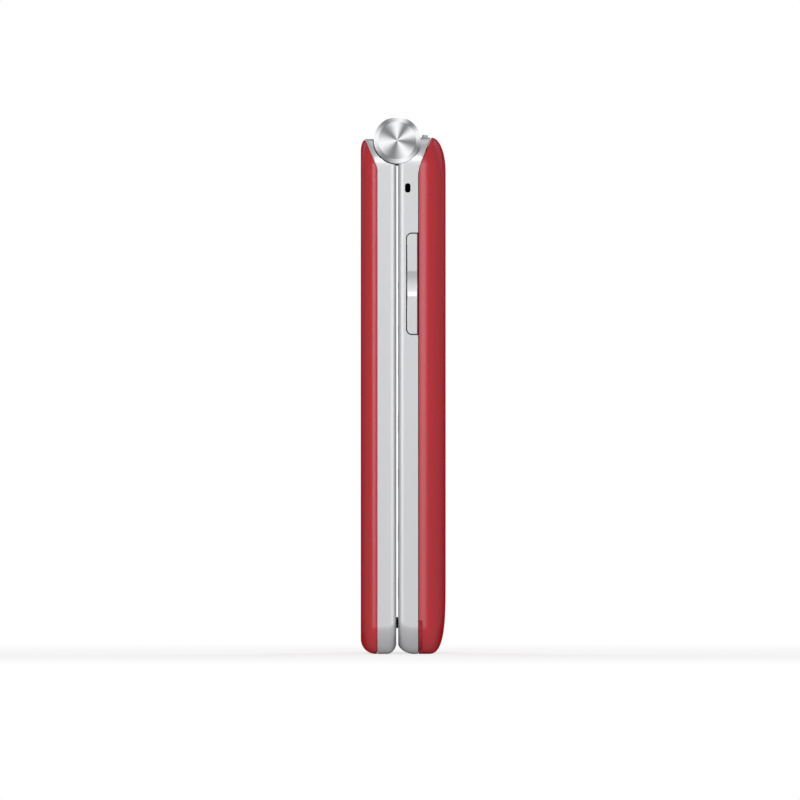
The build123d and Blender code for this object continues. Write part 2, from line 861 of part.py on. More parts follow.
def key_domes():
    """Dome sheet on the board: one metal dome under each plunger."""
    middle = (keypad_low + keypad_high) / 2
    size = (board_width - 2 * boss_radius, keypad_high - keypad_low, dome_sheet_corner)
    sheet = slab((dome_sheet_front, board_front), 0, middle, *size)
    places = [(x, z) for name, x, z, *rest in key_places()]
    places += [(0, z) for z in (nav_z, *nav_switch_places())]
    for x, z in places:
        sheet += rod_y(x, (dome_top, dome_sheet_front), z, dome_radius)
    return sheet


# ---- Base --------------------------------------------------------------------------------------

def rocker_room(clearance, x_span, y_back):
    """The outline of the volume rocker in the side wall, grown by a clearance."""
    low_y = rocker_low_y - clearance
    length = rocker_length + 2 * clearance
    depth = y_back - low_y
    corner = rocker_corner + clearance
    outline_face = Rectangle(depth, length)
    left = outline_face.vertices().group_by(Axis.X)[0]
    outline_face = fillet(left, corner)
    face = Plane.YZ.offset(x_span[0]) * Pos(low_y + depth / 2, rocker_z) * outline_face
    return extrude(face, amount=x_span[1] - x_span[0])


def base_front_housing():
    """Silver half of the base: frame, keypad face and the two hinge ears."""
    housing = base_form() - past_base_seam(0)
    room_height = cavity_top - base_wall
    room = (base_face_back, base_outer)
    middle = base_wall + room_height / 2
    width = body_width - 2 * base_wall
    housing -= slab(room, 0, middle, width, room_height, plan_radius - base_wall)
    housing -= hinge_rod((-ear_start, ear_start), barrel_swing_radius)
    for side in (-1, 1):
        housing += hinge_rod(sorted((side * ear_start, side * cap_inner)), barrel_radius)
        seat = sorted((side * cap_inner, side * (cap_outer + margin)))
        housing -= hinge_rod(seat, cap_radius + piece_fit)
    shaft_hole = (ear_start - overcut, cap_inner + overcut)
    housing -= hinge_rod(shaft_hole, shaft_radius + push_fit)
    bush_hole = (-cap_inner - overcut, -ear_start + overcut)
    housing -= hinge_rod(bush_hole, barrel_bore_radius - running_fit + push_fit)
    housing = cut_keypad(housing)
    for x, z in base_screw_places():
        housing += rod_y(x, (base_face_back - piece_fit, board_back), z, boss_radius)
        housing -= rod_y(x, (base_face_back, board_back + overcut), z, screw_radius + push_fit)
    return cut_ports(housing)


def cut_keypad(housing):
    """The shallow keypad recess and an opening for each key."""
    middle = (keypad_low + keypad_high) / 2
    width = keypad_width + 2 * keypad_margin
    height = keypad_high - keypad_low + 2 * keypad_margin
    recess = (base_inner - overcut, pocket_floor)
    housing -= slab(recess, 0, middle, width, height, key_corner + keypad_margin)
    through = (base_inner, base_face_back + overcut)
    for name, x, z, key_w, key_h, corner in key_places():
        housing -= slab(through, x, z, key_w + 2 * key_gap, key_h + 2 * key_gap, corner + key_gap)
    nav_w = nav_width + 2 * key_gap
    nav_h = nav_height + 2 * key_gap
    return housing - slab(through, 0, nav_z, nav_w, nav_h, nav_corner + key_gap)


def cut_ports(housing):
    """Openings in the walls: rocker, strap hole, USB port, headset jack, microphone and torch."""
    wall_x = (half_width - base_wall - margin / 2, half_width + margin)
    housing -= rocker_room(rocker_groove, wall_x, base_seam + margin)
    hole = RectangleRounded(strap_hole_width, strap_hole_height, strap_hole_width / 2 - piece_fit)
    strap = Plane.YZ.offset(wall_x[0]) * Pos(strap_hole_y, strap_hole_z) * hole
    housing -= extrude(strap, amount=wall_x[1] - wall_x[0])
    usb_size = (usb_width + 2 * part_fit, usb_thickness + 2 * part_fit)
    usb_face = RectangleRounded(*usb_size, usb_corner + part_fit)
    housing -= extrude(Pos(0, usb_y, -margin) * usb_face, amount=margin + usb_setback + usb_length)
    hole_radius = jack_radius + piece_fit
    housing -= rod_x((-half_width - margin, jack_inner_x), jack_y, jack_z, hole_radius)
    housing -= jack_room((jack_y - hole_radius, base_seam), base_wall)
    housing -= rod_y(mic_x, (base_inner - overcut, base_face_back + overcut), mic_z, mic_hole_radius)
    stem_z = (base_height - torch_pocket - led_height, base_height + margin)
    stem_y = (torch_y - torch_stem / 2 - piece_fit, torch_y + torch_stem / 2 + piece_fit)
    stem_x = (-torch_width / 2 - piece_fit, torch_width / 2 + piece_fit)
    return housing - block(stem_x, stem_y, stem_z)


def base_rear_housing():
    """Black carrier behind the board: battery bay, speaker ring and antenna block."""
    low = base_wall + rear_plate_fit
    high = cavity_top - rear_plate_fit
    width = body_width - 2 * (base_wall + rear_plate_fit)
    plate_span = (rear_plate_front, rear_plate_back)
    corner = plan_radius - base_wall - rear_plate_fit
    carrier = slab(plate_span, 0, (low + high) / 2, width, high - low, corner)
    bay_width = battery_width + 2 * bay_fit
    bay_height = battery_height + 2 * bay_fit
    wall_span = (rear_plate_back, rear_plate_back + bay_wall_height)
    outer_width = bay_width + 2 * bay_wall
    outer_height = bay_height + 2 * bay_wall
    bay = slab(wall_span, 0, battery_z, outer_width, outer_height, battery_corner + bay_wall)
    inside = (rear_plate_back, rear_plate_back + bay_wall_height + overcut)
    bay -= slab(inside, 0, battery_z, bay_width, bay_height, battery_corner)
    for index in range(contact_count):
        x = (index - (contact_count - 1) / 2) * contact_pitch
        slot_x = (x - contact_width / 2 - part_fit, x + contact_width / 2 + part_fit)
        slot_z = (battery_high, battery_high + bay_wall + overcut)
        bay -= block(slot_x, inside, slot_z)
    carrier += bay
    ring_radius = speaker_radius + part_fit
    ring_y = (rear_plate_back, rear_plate_back + speaker_depth / 2)
    ring = rod_y(0, ring_y, speaker_z, ring_radius + speaker_wall)
    carrier += ring - rod_y(0, inside, speaker_z, ring_radius)
    block_x = (-antenna_width / 2, antenna_width / 2)
    block_z = (antenna_z - antenna_height / 2, antenna_z + antenna_height / 2)
    carrier += block(block_x, (rear_plate_back, rear_plate_back + antenna_block_depth), block_z)
    for side in (-1, 1):
        cradle_x = motor_x + side * motor_length / 3
        cradle_z = (motor_z - motor_radius - bay_wall, motor_z + motor_radius + bay_wall)
        cradle_y = (rear_plate_back, rear_plate_back + motor_radius)
        carrier += block((cradle_x - bay_wall / 2, cradle_x + bay_wall / 2), cradle_y, cradle_z)
    motor_x_span = (motor_x - motor_length, motor_x + motor_length)
    carrier -= rod_x(motor_x_span, motor_y, motor_z, motor_radius + piece_fit)
    through = (rear_plate_front - overcut, rear_plate_back + overcut)
    for x, z in base_screw_places():
        carrier -= rod_y(x, through, z, screw_radius + part_fit)
    notch_x = (switch_x - part_fit, half_width)
    notch_z = (rocker_z - rocker_length / 2 - base_wall, rocker_z + rocker_length / 2 + base_wall)
    carrier -= block(notch_x, through, notch_z)
    carrier -= jack_room((through[0], jack_y + jack_radius + part_fit))
    return carrier - usb_room((through[0], usb_y + usb_thickness / 2 + part_fit))


def main_circuit_board():
    """Main board, screwed between the two halves of the base."""
    high = cavity_top - part_fit
    span = (board_front, board_back)
    middle = (board_low + high) / 2
    board = slab(span, 0, middle, board_width, high - board_low, board_corner)
    through = (board_front - overcut, board_back + overcut)
    for x, z in base_screw_places():
        board -= rod_y(x, through, z, boss_radius + part_fit)
    return board - jack_room(through) - usb_room(through)


def battery():
    """Removable battery pack."""
    span = (battery_front, battery_front + battery_thickness)
    return slab(span, 0, battery_z, battery_width, battery_height, battery_corner)


def battery_contacts():
    """Three sprung contacts at the head of the battery bay."""
    contacts = []
    low = battery_high + part_fit
    for index in range(contact_count):
        x = (index - (contact_count - 1) / 2) * contact_pitch
        x_span = (x - contact_width / 2, x + contact_width / 2)
        foot_y = (rear_plate_back, rear_plate_back + contact_thickness)
        finger_y = (rear_plate_back, rear_plate_back + contact_height)
        foot = block(x_span, foot_y, (low, low + contact_foot))
        contacts.append(foot + block(x_span, finger_y, (low, low + contact_thickness)))
    return Compound(children=contacts)


def usb_port():
    """Micro USB socket in the lower end."""
    low = usb_setback
    high = low + usb_length
    outer = Pos(0, usb_y, low) * RectangleRounded(usb_width, usb_thickness, usb_corner)
    inner_width = usb_width - 2 * usb_wall
    inner_depth = usb_thickness - 2 * usb_wall
    inner = Pos(0, usb_y, low - overcut) * RectangleRounded(inner_width, inner_depth, usb_mouth_corner)
    socket = extrude(outer, amount=usb_length) - extrude(inner, amount=usb_length + overcut - usb_wall)
    tongue_x = (-inner_width / 3, inner_width / 3)
    tongue_y = (usb_y - usb_tongue / 2, usb_y + usb_tongue / 2)
    return socket + block(tongue_x, tongue_y, (low + usb_wall, high - usb_wall / 2))


def headset_jack():
    """Headset socket, its round mouth flush in the left wall."""
    mouth = -half_width + part_fit
    body_x = (-half_width + base_wall + part_fit, jack_inner_x)
    body_z = (jack_z - jack_height / 2, jack_z + jack_height / 2)
    body = block(body_x, (jack_y - jack_radius, jack_y + jack_radius), body_z)
    nose = rod_x((mouth, jack_inner_x), jack_y, jack_z, jack_radius)
    return body + nose - rod_x((mouth - overcut, mouth + jack_depth), jack_y, jack_z, jack_bore_radius)


def loudspeaker():
    """Ringer speaker behind the slots of the battery cover."""
    back = rear_plate_back + speaker_depth
    basket = rod_y(0, (rear_plate_back + piece_fit, back), speaker_z, speaker_radius)
    dish_floor = back - speaker_wall / 2
    dish = rod_y(0, (dish_floor, back + overcut), speaker_z, speaker_radius - speaker_wall)
    cone = rod_y(0, (dish_floor - piece_fit, back), speaker_z, speaker_radius / 2)
    return basket - dish + cone


def vibration_motor():
    """Small motor in its cradle, with its off-centre weight."""
    half = motor_length / 2
    end = motor_x + half
    can = rod_x((motor_x - half, motor_x + half / 3), motor_y, motor_z, motor_radius)
    shaft = rod_x((motor_x + half / 3, end), motor_y, motor_z, motor_radius / 4)
    weight_radius = motor_radius - motor_weight_gap
    weight = rod_x((motor_x + half / 2, end), motor_y, motor_z, weight_radius)
    upper_y = (motor_y - motor_radius, motor_y + motor_radius)
    weight -= block((motor_x, end), upper_y, (motor_z, motor_z + motor_radius))
    return can + shaft + weight


def antenna():
    """Metal antenna strip on the lower end of the carrier."""
    front = rear_plate_back + antenna_block_depth
    span = (front, front + antenna_thickness)
    size = (antenna_width - 2 * part_fit, antenna_height - 2 * part_fit, antenna_corner)
    strip = slab(span, 0, antenna_z, *size)
    through = (front - overcut, front + overcut)
    for side in (-1, 1):
        slot_x = sorted((side * antenna_width / 8, side * (antenna_width / 2 - antenna_height / 2)))
        slot_z = (antenna_z - antenna_height / 8, antenna_z + antenna_height / 8)
        strip -= block(slot_x, through, slot_z)
    return strip


def sim_holder():
    """Folded metal frame that holds the SIM card."""
    span = (rear_plate_back, rear_plate_back + sim_depth)
    frame = slab(span, sim_x, sim_z, sim_width, sim_height, sim_corner)
    room_y = (rear_plate_back - overcut, rear_plate_back + sim_depth - sim_wall)
    room_x = (sim_x - sim_width / 2 + sim_wall, sim_x + sim_width / 2 - sim_wall)
    room_z = (sim_z - sim_height, sim_z + sim_height / 2 - sim_wall)
    window = (rear_plate_back, rear_plate_back + sim_depth + overcut)
    frame -= slab(window, sim_x, sim_z, sim_width / 2, sim_height / 2, sim_window_corner)
    return frame - block(room_x, room_y, room_z)


def microphone():
    """Microphone on the board, behind its hole in the face."""
    span = (base_face_back + part_fit, board_front)
    return slab(span, mic_x, mic_z, mic_width, mic_height, mic_corner)


def rf_shield():
    """Shield can on the front of the board."""
    span = (base_face_back + part_fit, board_front)
    return slab(span, 0, shield_z, shield_width, shield_height, shield_corner)


def volume_switches():
    """Two small side switches on the board, behind the ends of the rocker."""
    switches = []
    for side in (-1, 1):
        z = rocker_z + side * rocker_nub_spacing / 2
        z_span = (z - switch_length / 2, z + switch_length / 2)
        y_span = (board_front - switch_height, board_front)
        switches.append(block((switch_x - switch_depth, switch_x), y_span, z_span))
    return Compound(children=switches)


def base_screws():
    """Four screws through the carrier into the front housing."""
    head_y = rear_plate_back + screw_head_height
    screws = [screw(x, head_y, z, -1, base_screw_length) for x, z in base_screw_places()]
    return Compound(children=screws)


def torch_lens():
    """Clear lens of the torch, standing just proud of the top."""
    half = torch_width / 2
    stem_z = (base_height - torch_pocket + piece_fit, base_height + push_fit)
    stem = block((-half, half), (torch_y - torch_stem / 2, torch_y + torch_stem / 2), stem_z)
    head = RectangleRounded(torch_width, torch_head, torch_head / 2 - push_fit)
    return stem + extrude(Pos(0, torch_y, base_height) * head, amount=torch_proud)


def torch_led():
    """Light-emitting diode under the torch lens."""
    low = base_height - torch_pocket - led_height + push_fit
    y_span = (torch_y - torch_stem / 2 + push_fit, torch_y + torch_stem / 2 - push_fit)
    return block((-led_width / 2, led_width / 2), y_span, (low, low + led_height))


def volume_rocker():
    """Two-way key in the right wall, with a scoop across its middle."""
    x_span = (rocker_inner_x, half_width + rocker_proud)
    rocker = rocker_room(0, x_span, rocker_back)
    scoop_radius = rocker_scoop_length ** 2 / (8 * rocker_scoop_depth) + rocker_scoop_depth / 2
    scoop_x = half_width + rocker_proud + scoop_radius - rocker_scoop_depth
    y_span = (rocker_low_y - overcut, rocker_back + overcut)
    rocker -= rod_y(scoop_x, y_span, rocker_z, scoop_radius)
    middle_y = rocker_low_y + rocker_nub_size / 2
    for side in (-1, 1):
        z = rocker_z + side * rocker_nub_spacing / 2
        nub_z = (z - rocker_nub_size / 2, z + rocker_nub_size / 2)
        nub_y = (middle_y - rocker_nub_size / 2, middle_y + rocker_nub_size / 2)
        rocker += block((rocker_nub_x, rocker_inner_x + piece_fit), nub_y, nub_z)
    tab_high = half_width - base_wall - part_fit
    tab_y = (rocker_low_y - rocker_tab_reach, rocker_low_y + piece_fit)
    tab_z = (rocker_z - rocker_tab_length / 2, rocker_z + rocker_tab_length / 2)
    return rocker + block((tab_high - rocker_tab_depth, tab_high), tab_y, tab_z)


def battery_cover():
    """Back cover with speaker slots and a fingernail notch on each side."""
    edges = (base_side, base_bottom, base_top)
    cover = base_form() & past_base_seam(seam_groove)
    cover -= cover_hollow(base_outer, -1, base_height, edges, battery_cover_wall)
    through = (base_outer - battery_cover_wall - overcut, base_outer + overcut)
    for index in range(speaker_slot_count):
        z = speaker_z + (index - (speaker_slot_count - 1) / 2) * speaker_slot_pitch
        radius = speaker_slot_height / 2 - push_fit
        cover -= slab(through, 0, z, speaker_slot_width, speaker_slot_height, radius)
    for side in (-1, 1):
        notch_x = sorted((side * (half_width - notch_depth), side * (half_width + overcut)))
        notch_z_span = (notch_z - notch_height / 2, notch_z + notch_height / 2)
        cover -= block(notch_x, (base_seam - overcut, base_seam + notch_width), notch_z_span)
    return cover


# ---- Write one file for each sub-part -----------------------------------------------------------

pieces = {
    "lid_outer_cover": lid_outer_cover(),
    "lid_inner_housing": lid_inner_housing(),
    "lid_hinge_barrel": lid_hinge_barrel(),
    "outer_window": outer_window(),
    "outer_display": outer_display(),
    "camera_module": camera_module(),
    "camera_lens": camera_lens(),
    "main_window": main_window(),
    "main_display": main_display(),
    "lid_circuit_board": lid_circuit_board(),
    "earpiece_speaker": earpiece_speaker(),
    "earpiece_grille": earpiece_grille(),
    "lid_magnet": lid_magnet(),
    "lid_bumpers": lid_bumpers(),
    "lid_screws": lid_screws(),
    "lid_screw_plugs": lid_screw_plugs(),
    "hinge_cartridge": hinge_cartridge(),
    "hinge_shaft": hinge_shaft(),
    "hinge_spring": hinge_spring(),
    "hinge_bush": hinge_bush(),
    "hinge_flex": hinge_flex(),
    "hinge_caps": hinge_caps(),
    "nav_ring": nav_ring(),
    "key_select": key_select(),
    "key_domes": key_domes(),
    "base_front_housing": base_front_housing(),
    "base_rear_housing": base_rear_housing(),
    "main_circuit_board": main_circuit_board(),
    "battery": battery(),
    "battery_contacts": battery_contacts(),
    "usb_port": usb_port(),
    "headset_jack": headset_jack(),
    "loudspeaker": loudspeaker(),
    "vibration_motor": vibration_motor(),
    "antenna": antenna(),
    "sim_holder": sim_holder(),
    "microphone": microphone(),
    "rf_shield": rf_shield(),
    "volume_switches": volume_switches(),
    "base_screws": base_screws(),
    "torch_lens": torch_lens(),
    "torch_led": torch_led(),
    "volume_rocker": volume_rocker(),
    "battery_cover": battery_cover(),
}
for name, x, z, width, height, corner in key_places():
    pieces[name] = flat_key(x, z, width, height, corner)

for name, shape in pieces.items():
    export_step(shape, "parts/" + name + ".step")
print(len(pieces), "sub-parts written")
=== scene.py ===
# %% [markdown]
# # A folding phone in red and silver
# The real object is a closed flip phone that stands on its lower end. Its construction comes from a
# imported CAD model, which is the frame here: it says where each piece is and which body carries it.
# This script gives every surface its finish, and remodels the pieces that show most.

# %% Load the frame
import math
from collections import namedtuple

import bmesh
import bpy
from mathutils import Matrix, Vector


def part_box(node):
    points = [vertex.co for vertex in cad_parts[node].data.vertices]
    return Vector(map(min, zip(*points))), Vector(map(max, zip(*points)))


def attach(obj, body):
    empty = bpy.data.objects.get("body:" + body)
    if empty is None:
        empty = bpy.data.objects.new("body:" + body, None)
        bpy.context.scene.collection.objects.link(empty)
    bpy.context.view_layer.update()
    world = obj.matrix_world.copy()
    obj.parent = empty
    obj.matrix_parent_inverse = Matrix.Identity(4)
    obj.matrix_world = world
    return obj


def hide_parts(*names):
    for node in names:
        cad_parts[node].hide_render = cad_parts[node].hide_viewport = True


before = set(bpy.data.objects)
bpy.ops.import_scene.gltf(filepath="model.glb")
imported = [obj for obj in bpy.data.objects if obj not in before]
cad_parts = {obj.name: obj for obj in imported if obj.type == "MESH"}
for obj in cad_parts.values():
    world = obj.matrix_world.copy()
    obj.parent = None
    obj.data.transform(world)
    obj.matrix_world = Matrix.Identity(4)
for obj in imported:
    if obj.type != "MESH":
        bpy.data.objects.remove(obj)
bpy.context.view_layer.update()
MM = 0.001

# %% [markdown]
# ## Sizes
# The outer sizes are read from the frame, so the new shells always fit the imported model. What a box
# can't say, such as how an edge is rounded, is a named value in millimetres. An edge is given by how
# deep behind the face it starts, how far the face is drawn in, and the power of its curve: 2 is an
# ellipse, and 3 is fuller.

# %% Sizes from the frame
def box_mm(node):
    """The lowest and highest corners of a CAD node, in millimetres."""
    low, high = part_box(node)
    return low / MM, high / MM


Edge = namedtuple("Edge", "depth draw power")

lid_low, lid_high = box_mm("lid_outer_cover")
back_high = box_mm("battery_cover")[1]
cap_low, cap_high = box_mm("hinge_caps")

half_width = lid_high.x
gap_y = (cap_low.y + cap_high.y) / 2
hinge_z = (cap_low.z + cap_high.z) / 2
cap_radius = (cap_high.z - cap_low.z) / 2
plan_radius, cap_face, closed_gap = 5.7, 3.8, 0.4
print("half width", round(half_width, 2), "hinge height", round(hinge_z, 2), "gap at", round(gap_y, 2))

# %% [markdown]
# ## Modelling by hand, in code
# Every new piece is modelled as it would be by hand: add a primitive at its size and place, go into
# edit mode, select faces or edges, and extrude, scale or bevel them. The helpers here only save
# typing. `pick` selects by a test on place or normal, because an operator acts on all that is
# selected.

# %% Helpers for modelling
def only(piece):
    """Makes one object the only one that is selected."""
    if bpy.context.object and bpy.context.object.mode != "OBJECT":
        bpy.ops.object.mode_set(mode="OBJECT")
    bpy.ops.object.select_all(action="DESELECT")
    piece.select_set(True)
    bpy.context.view_layer.objects.active = piece


def take(name):
    """Names the primitive just added, puts its place into its mesh and opens it for editing."""
    piece = bpy.context.object
    piece.name = name
    only(piece)
    bpy.ops.object.transform_apply(location=True, rotation=True, scale=True)
    bpy.ops.object.mode_set(mode="EDIT")
    bpy.ops.mesh.select_all(action="DESELECT")
    return piece


def pick(kind, test):
    """Selects the faces, edges or verts that pass a test, and nothing else."""
    mesh = bpy.context.object.data
    bpy.ops.mesh.select_mode(type={"faces": "FACE", "edges": "EDGE", "verts": "VERT"}[kind])
    bpy.ops.mesh.select_all(action="DESELECT")
    shape = bmesh.from_edit_mesh(mesh)
    chosen = [part for part in getattr(shape, kind) if test(part)]
    for part in chosen:
        part.select_set(True)
    shape.select_flush_mode()
    bmesh.update_edit_mesh(mesh)
    return len(chosen)


def close():
    """Leaves edit mode."""
    bpy.ops.object.mode_set(mode="OBJECT")


def along(edge, axis):
    """Whether an edge runs along an axis: 0, 1 or 2."""
    run = edge.verts[1].co - edge.verts[0].co
    return abs(run[axis]) > 0.999 * run.length


def facing(face, axis, sign):
    """Whether a face looks along an axis, in the direction of the sign."""
    return face.normal[axis] * sign > 0.99


def rounded_block(name, low, high, corner, segments=8):
    """A block between two corners, with the edges that run along Y rounded. Stays in edit mode."""
    low, high = Vector(low), Vector(high)
    bpy.ops.mesh.primitive_cube_add(size=1, location=(low + high) / 2 * MM, scale=(high - low) * MM)
    piece = take(name)
    if corner:
        pick("edges", lambda edge: along(edge, 1))
        bpy.ops.mesh.bevel(offset=corner * MM, segments=segments, affect="EDGES")
    return piece


def follow(stations, x=0.0):
    """Extrudes the selected face through stations (y, width, low, high), moving and scaling it."""
    y, width, low, high = stations[0]
    for next_y, next_width, next_low, next_high in stations[1:]:
        rise = (next_low + next_high - low - high) / 2
        step = Vector((0, next_y - y, rise)) * MM
        bpy.ops.mesh.extrude_region_move(TRANSFORM_OT_translate={"value": step})
        middle = Vector((x, next_y, (next_low + next_high) / 2)) * MM
        scale = (next_width / width, 1, (next_high - next_low) / (high - low))
        bpy.ops.transform.resize(value=scale, center_override=middle)
        y, width, low, high = next_y, next_width, next_low, next_high


def turned(name, x_sign, stations, points=96):
    """A piece turned about the hinge line, through stations (distance from the middle, radius)."""
    start, radius = stations[0]
    place = Vector((x_sign * start, gap_y, hinge_z)) * MM
    turn = (0, math.radians(90), 0)
    bpy.ops.mesh.primitive_circle_add(
        vertices=points, radius=radius * MM, fill_type="NGON", location=place, rotation=turn)
    piece = take(name)
    bpy.ops.mesh.select_all(action="SELECT")
    for far, next_radius in stations[1:]:
        step = Vector((x_sign * (far - start), 0, 0)) * MM
        bpy.ops.mesh.extrude_region_move(TRANSFORM_OT_translate={"value": step})
        middle = Vector((x_sign * far, gap_y, hinge_z)) * MM
        factor = next_radius / radius
        bpy.ops.transform.resize(value=(1, factor, factor), center_override=middle)
        start, radius = far, next_radius
    bpy.ops.mesh.select_all(action="SELECT")
    bpy.ops.mesh.normals_make_consistent(inside=False)
    close()
    return piece


def modify(piece, kind, **settings):
    """Adds a modifier with its settings and applies it."""
    only(piece)
    modifier = piece.modifiers.new(kind.title(), kind)
    for key, value in settings.items():
        setattr(modifier, key, value)
    bpy.ops.object.modifier_apply(modifier=modifier.name)


def cut(piece, cutter):
    """Cuts a piece with another, which is used up."""
    close_if_open(cutter)
    modify(piece, "BOOLEAN", object=cutter, operation="DIFFERENCE", solver="EXACT")
    bpy.data.objects.remove(cutter)


def close_if_open(piece):
    """Leaves edit mode if the piece is still open in it."""
    if piece.mode == "EDIT":
        close()


def merged(pieces, name):
    """Joins several objects into the first."""
    only(pieces[0])
    for piece in pieces[1:]:
        piece.select_set(True)
    bpy.ops.object.join()
    joined = bpy.context.object
    joined.name = name
    return joined


def smooth(piece, angle=30):
    """Smooth shading up to an angle, in which large flat faces outweigh the slivers beside them."""
    only(piece)
    bpy.ops.object.shade_smooth_by_angle(angle=math.radians(angle))
    modify(piece, "WEIGHTED_NORMAL", weight=80, keep_sharp=True)


def soften(piece, width, segments=2, angle=35):
    """A small rounded edge wherever two faces meet at more than an angle, and smooth shading."""
    modify(piece, "BEVEL", width=width * MM, segments=segments, limit_method="ANGLE",
           angle_limit=math.radians(angle), use_clamp_overlap=False)
    smooth(piece)


def settle(piece, body, slot, finish, *nodes):
    """Gives a finished piece its material and body, and hides the CAD nodes it stands for. The slot is not
    used.
    """
    close_if_open(piece)
    piece.data.materials.clear()
    piece.data.materials.append(finish)
    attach(piece, body)
    if nodes:
        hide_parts(*nodes)
    print(piece.name, len(piece.data.polygons), "faces")
    return piece

# %% [markdown]
# ## Finishes
# A finish is a small network of nodes. Written as Python, the sums in it read like sums: `Wire` wraps
# one output socket, and adding or multiplying it makes the Math node that does so. `Finish` holds a
# material and makes any other node from its type, its settings and its inputs. What is the same all
# over a surface, such as the coat or the index of refraction, is set on the shader itself.

# %% Shader helpers
class Wire:
    """An output socket that can stand in a sum."""

    def __init__(self, finish, socket):
        self.finish = finish
        self.socket = socket

    def __add__(self, other):
        return self.finish.math("ADD", self, other)

    def __sub__(self, other):
        return self.finish.math("SUBTRACT", self, other)

    def __rsub__(self, other):
        return self.finish.math("SUBTRACT", other, self)

    def __mul__(self, other):
        return self.finish.math("MULTIPLY", self, other)

    __radd__ = __add__
    __rmul__ = __mul__


class Finish:
    """A material whose varying inputs are worked out from the place on the object."""

    def __init__(self, name, **plain):
        self.material = bpy.data.materials.new(name)
        self.material.use_nodes = True
        self.nodes = self.material.node_tree.nodes
        self.links = self.material.node_tree.links
        self.shader = self.nodes["Principled BSDF"]
        self.place = self.wire(self.node("ShaderNodeTexCoord"), "Object")
        for socket, value in plain.items():
            self.set(socket.replace("_", " "), value)

    def node(self, kind, settings=None, inputs=None):
        """Makes a node: its settings first, then the values or links of its inputs."""
        made = self.nodes.new(kind)
        for key, value in (settings or {}).items():
            setattr(made, key, value)
        for key, value in (inputs or {}).items():
            self.feed(made.inputs[key], value)
        return made

    def feed(self, socket, value):
        """Links a wire to a socket, or writes a value on it."""
        if isinstance(value, Wire):
            self.links.new(value.socket, socket)
        else:
            socket.default_value = value

    def set(self, socket, value):
        """Feeds an input of the shader."""
        self.feed(self.shader.inputs[socket], value)

    def wire(self, node, output=0):
        return Wire(self, node.outputs[output])

    def math(self, operation, left, right=0.0):
        return self.wire(self.node("ShaderNodeMath", {"operation": operation}, {0: left, 1: right}))

    def noise(self, per_mm, detail=3.0, stretch=(1, 1, 1)):
        """Noise from 0 to 1 with a number of cells per millimetre, stretched along the axes."""
        scale = Vector(stretch) * (per_mm / MM)
        where = self.node("ShaderNodeMapping", {"vector_type": "POINT"}, {
            "Vector": self.place, "Scale": scale})
        return self.wire(self.node("ShaderNodeTexNoise", None, {
            "Vector": self.wire(where), "Scale": 1.0, "Detail": detail}))

    def smooth(self, value, low, high):
        """0 below low, 1 above high and a smooth step between."""
        return self.wire(self.node("ShaderNodeMapRange", {"interpolation_type": "SMOOTHSTEP"}, {
            "Value": value, "From Min": low, "From Max": high}))

    def axis(self, name):
        """The place along X, Y or Z, in metres."""
        return self.wire(self.node("ShaderNodeSeparateXYZ", None, {0: self.place}), name)

    def mix(self, share, first, second):
        """A colour between two colours."""
        return self.wire(self.node("ShaderNodeMix", {"data_type": "RGBA"}, {
            0: share, 6: first, 7: second}), 2)

    def over(self, share, **plain):
        """Lays a second shader over the first, over a share of the surface."""
        inputs = {socket.replace("_", " "): value for socket, value in plain.items()}
        second = self.node("ShaderNodeBsdfPrincipled", None, inputs)
        both = self.node("ShaderNodeMixShader", None, {
            0: share, 1: self.wire(self.shader), 2: self.wire(second)})
        self.links.new(both.outputs[0], self.nodes["Material Output"].inputs["Surface"])

    def bump(self, height, depth_mm, strength=1.0):
        """Raises the surface by a height from 0 to 1, to a depth in millimetres."""
        bump = self.node("ShaderNodeBump", None, {
            "Height": height, "Distance": depth_mm * MM, "Strength": strength})
        self.set("Normal", self.wire(bump))


def colour(red, green, blue):
    """A colour from its three screen values, 0 to 255, as the shader wants it."""
    linear = [((c / 255 + 0.055) / 1.055) ** 2.4 if c > 10 else c / 255 / 12.92 for c in (red, green, blue)]
    return (*linear, 1.0)


def shade(tint, factor):
    """A lighter or darker version of a colour."""
    return (*[min(part * factor, 1.0) for part in tint[:3]], 1.0)

# %% [markdown]
# ### Lacquer, plastic, metal, rubber and glass
# The covers are lacquered in a metallic red: metal flakes in a red ground, which has a thin clear
# coat. The flakes are a second shader, mixed in by a fine noise around the share of the surface they
# cover. They are metal of a paler colour, so they light up where the surface faces a lamp, and a black
# specular tint makes them dull at a flat angle. The frames wear the same lacquer in silver, outside
# only: within their walls a near-black colour stands for the bare plastic, and paints the shade in the
# holes that look into them.

# %% Finishes of the shells
blend, flake_spread = 0.1, 0.1


def inside_plan(paint, wall):
    """1 where a place is more than a wall inside the rounded outline of the halves, and 0 outside."""
    middle_z = lid_high.z / 2
    reach_x = paint.math("ABSOLUTE", paint.axis("X")) - (half_width - plan_radius) * MM
    reach_z = paint.math("ABSOLUTE", paint.axis("Z") - middle_z * MM) - (middle_z - plan_radius) * MM
    corner_x = paint.math("MAXIMUM", reach_x)
    corner_z = paint.math("MAXIMUM", reach_z)
    out = paint.math("SQRT", corner_x * corner_x + corner_z * corner_z)
    edge = plan_radius - wall
    return 1.0 - paint.smooth(out, (edge - blend) * MM, edge * MM)


def behind_face(paint, side, wall=1.15, face_wall=0.9):
    """1 within the walls of a frame and behind its face, where the bare plastic and painted shade go, and 0
    outside. Side is -1 for the lid.
    """
    behind = (paint.axis("Y") - gap_y * MM) * side
    start = closed_gap / 2 + face_wall
    deep = paint.smooth(behind, start * MM, (start + blend) * MM)
    return deep * inside_plan(paint, wall)


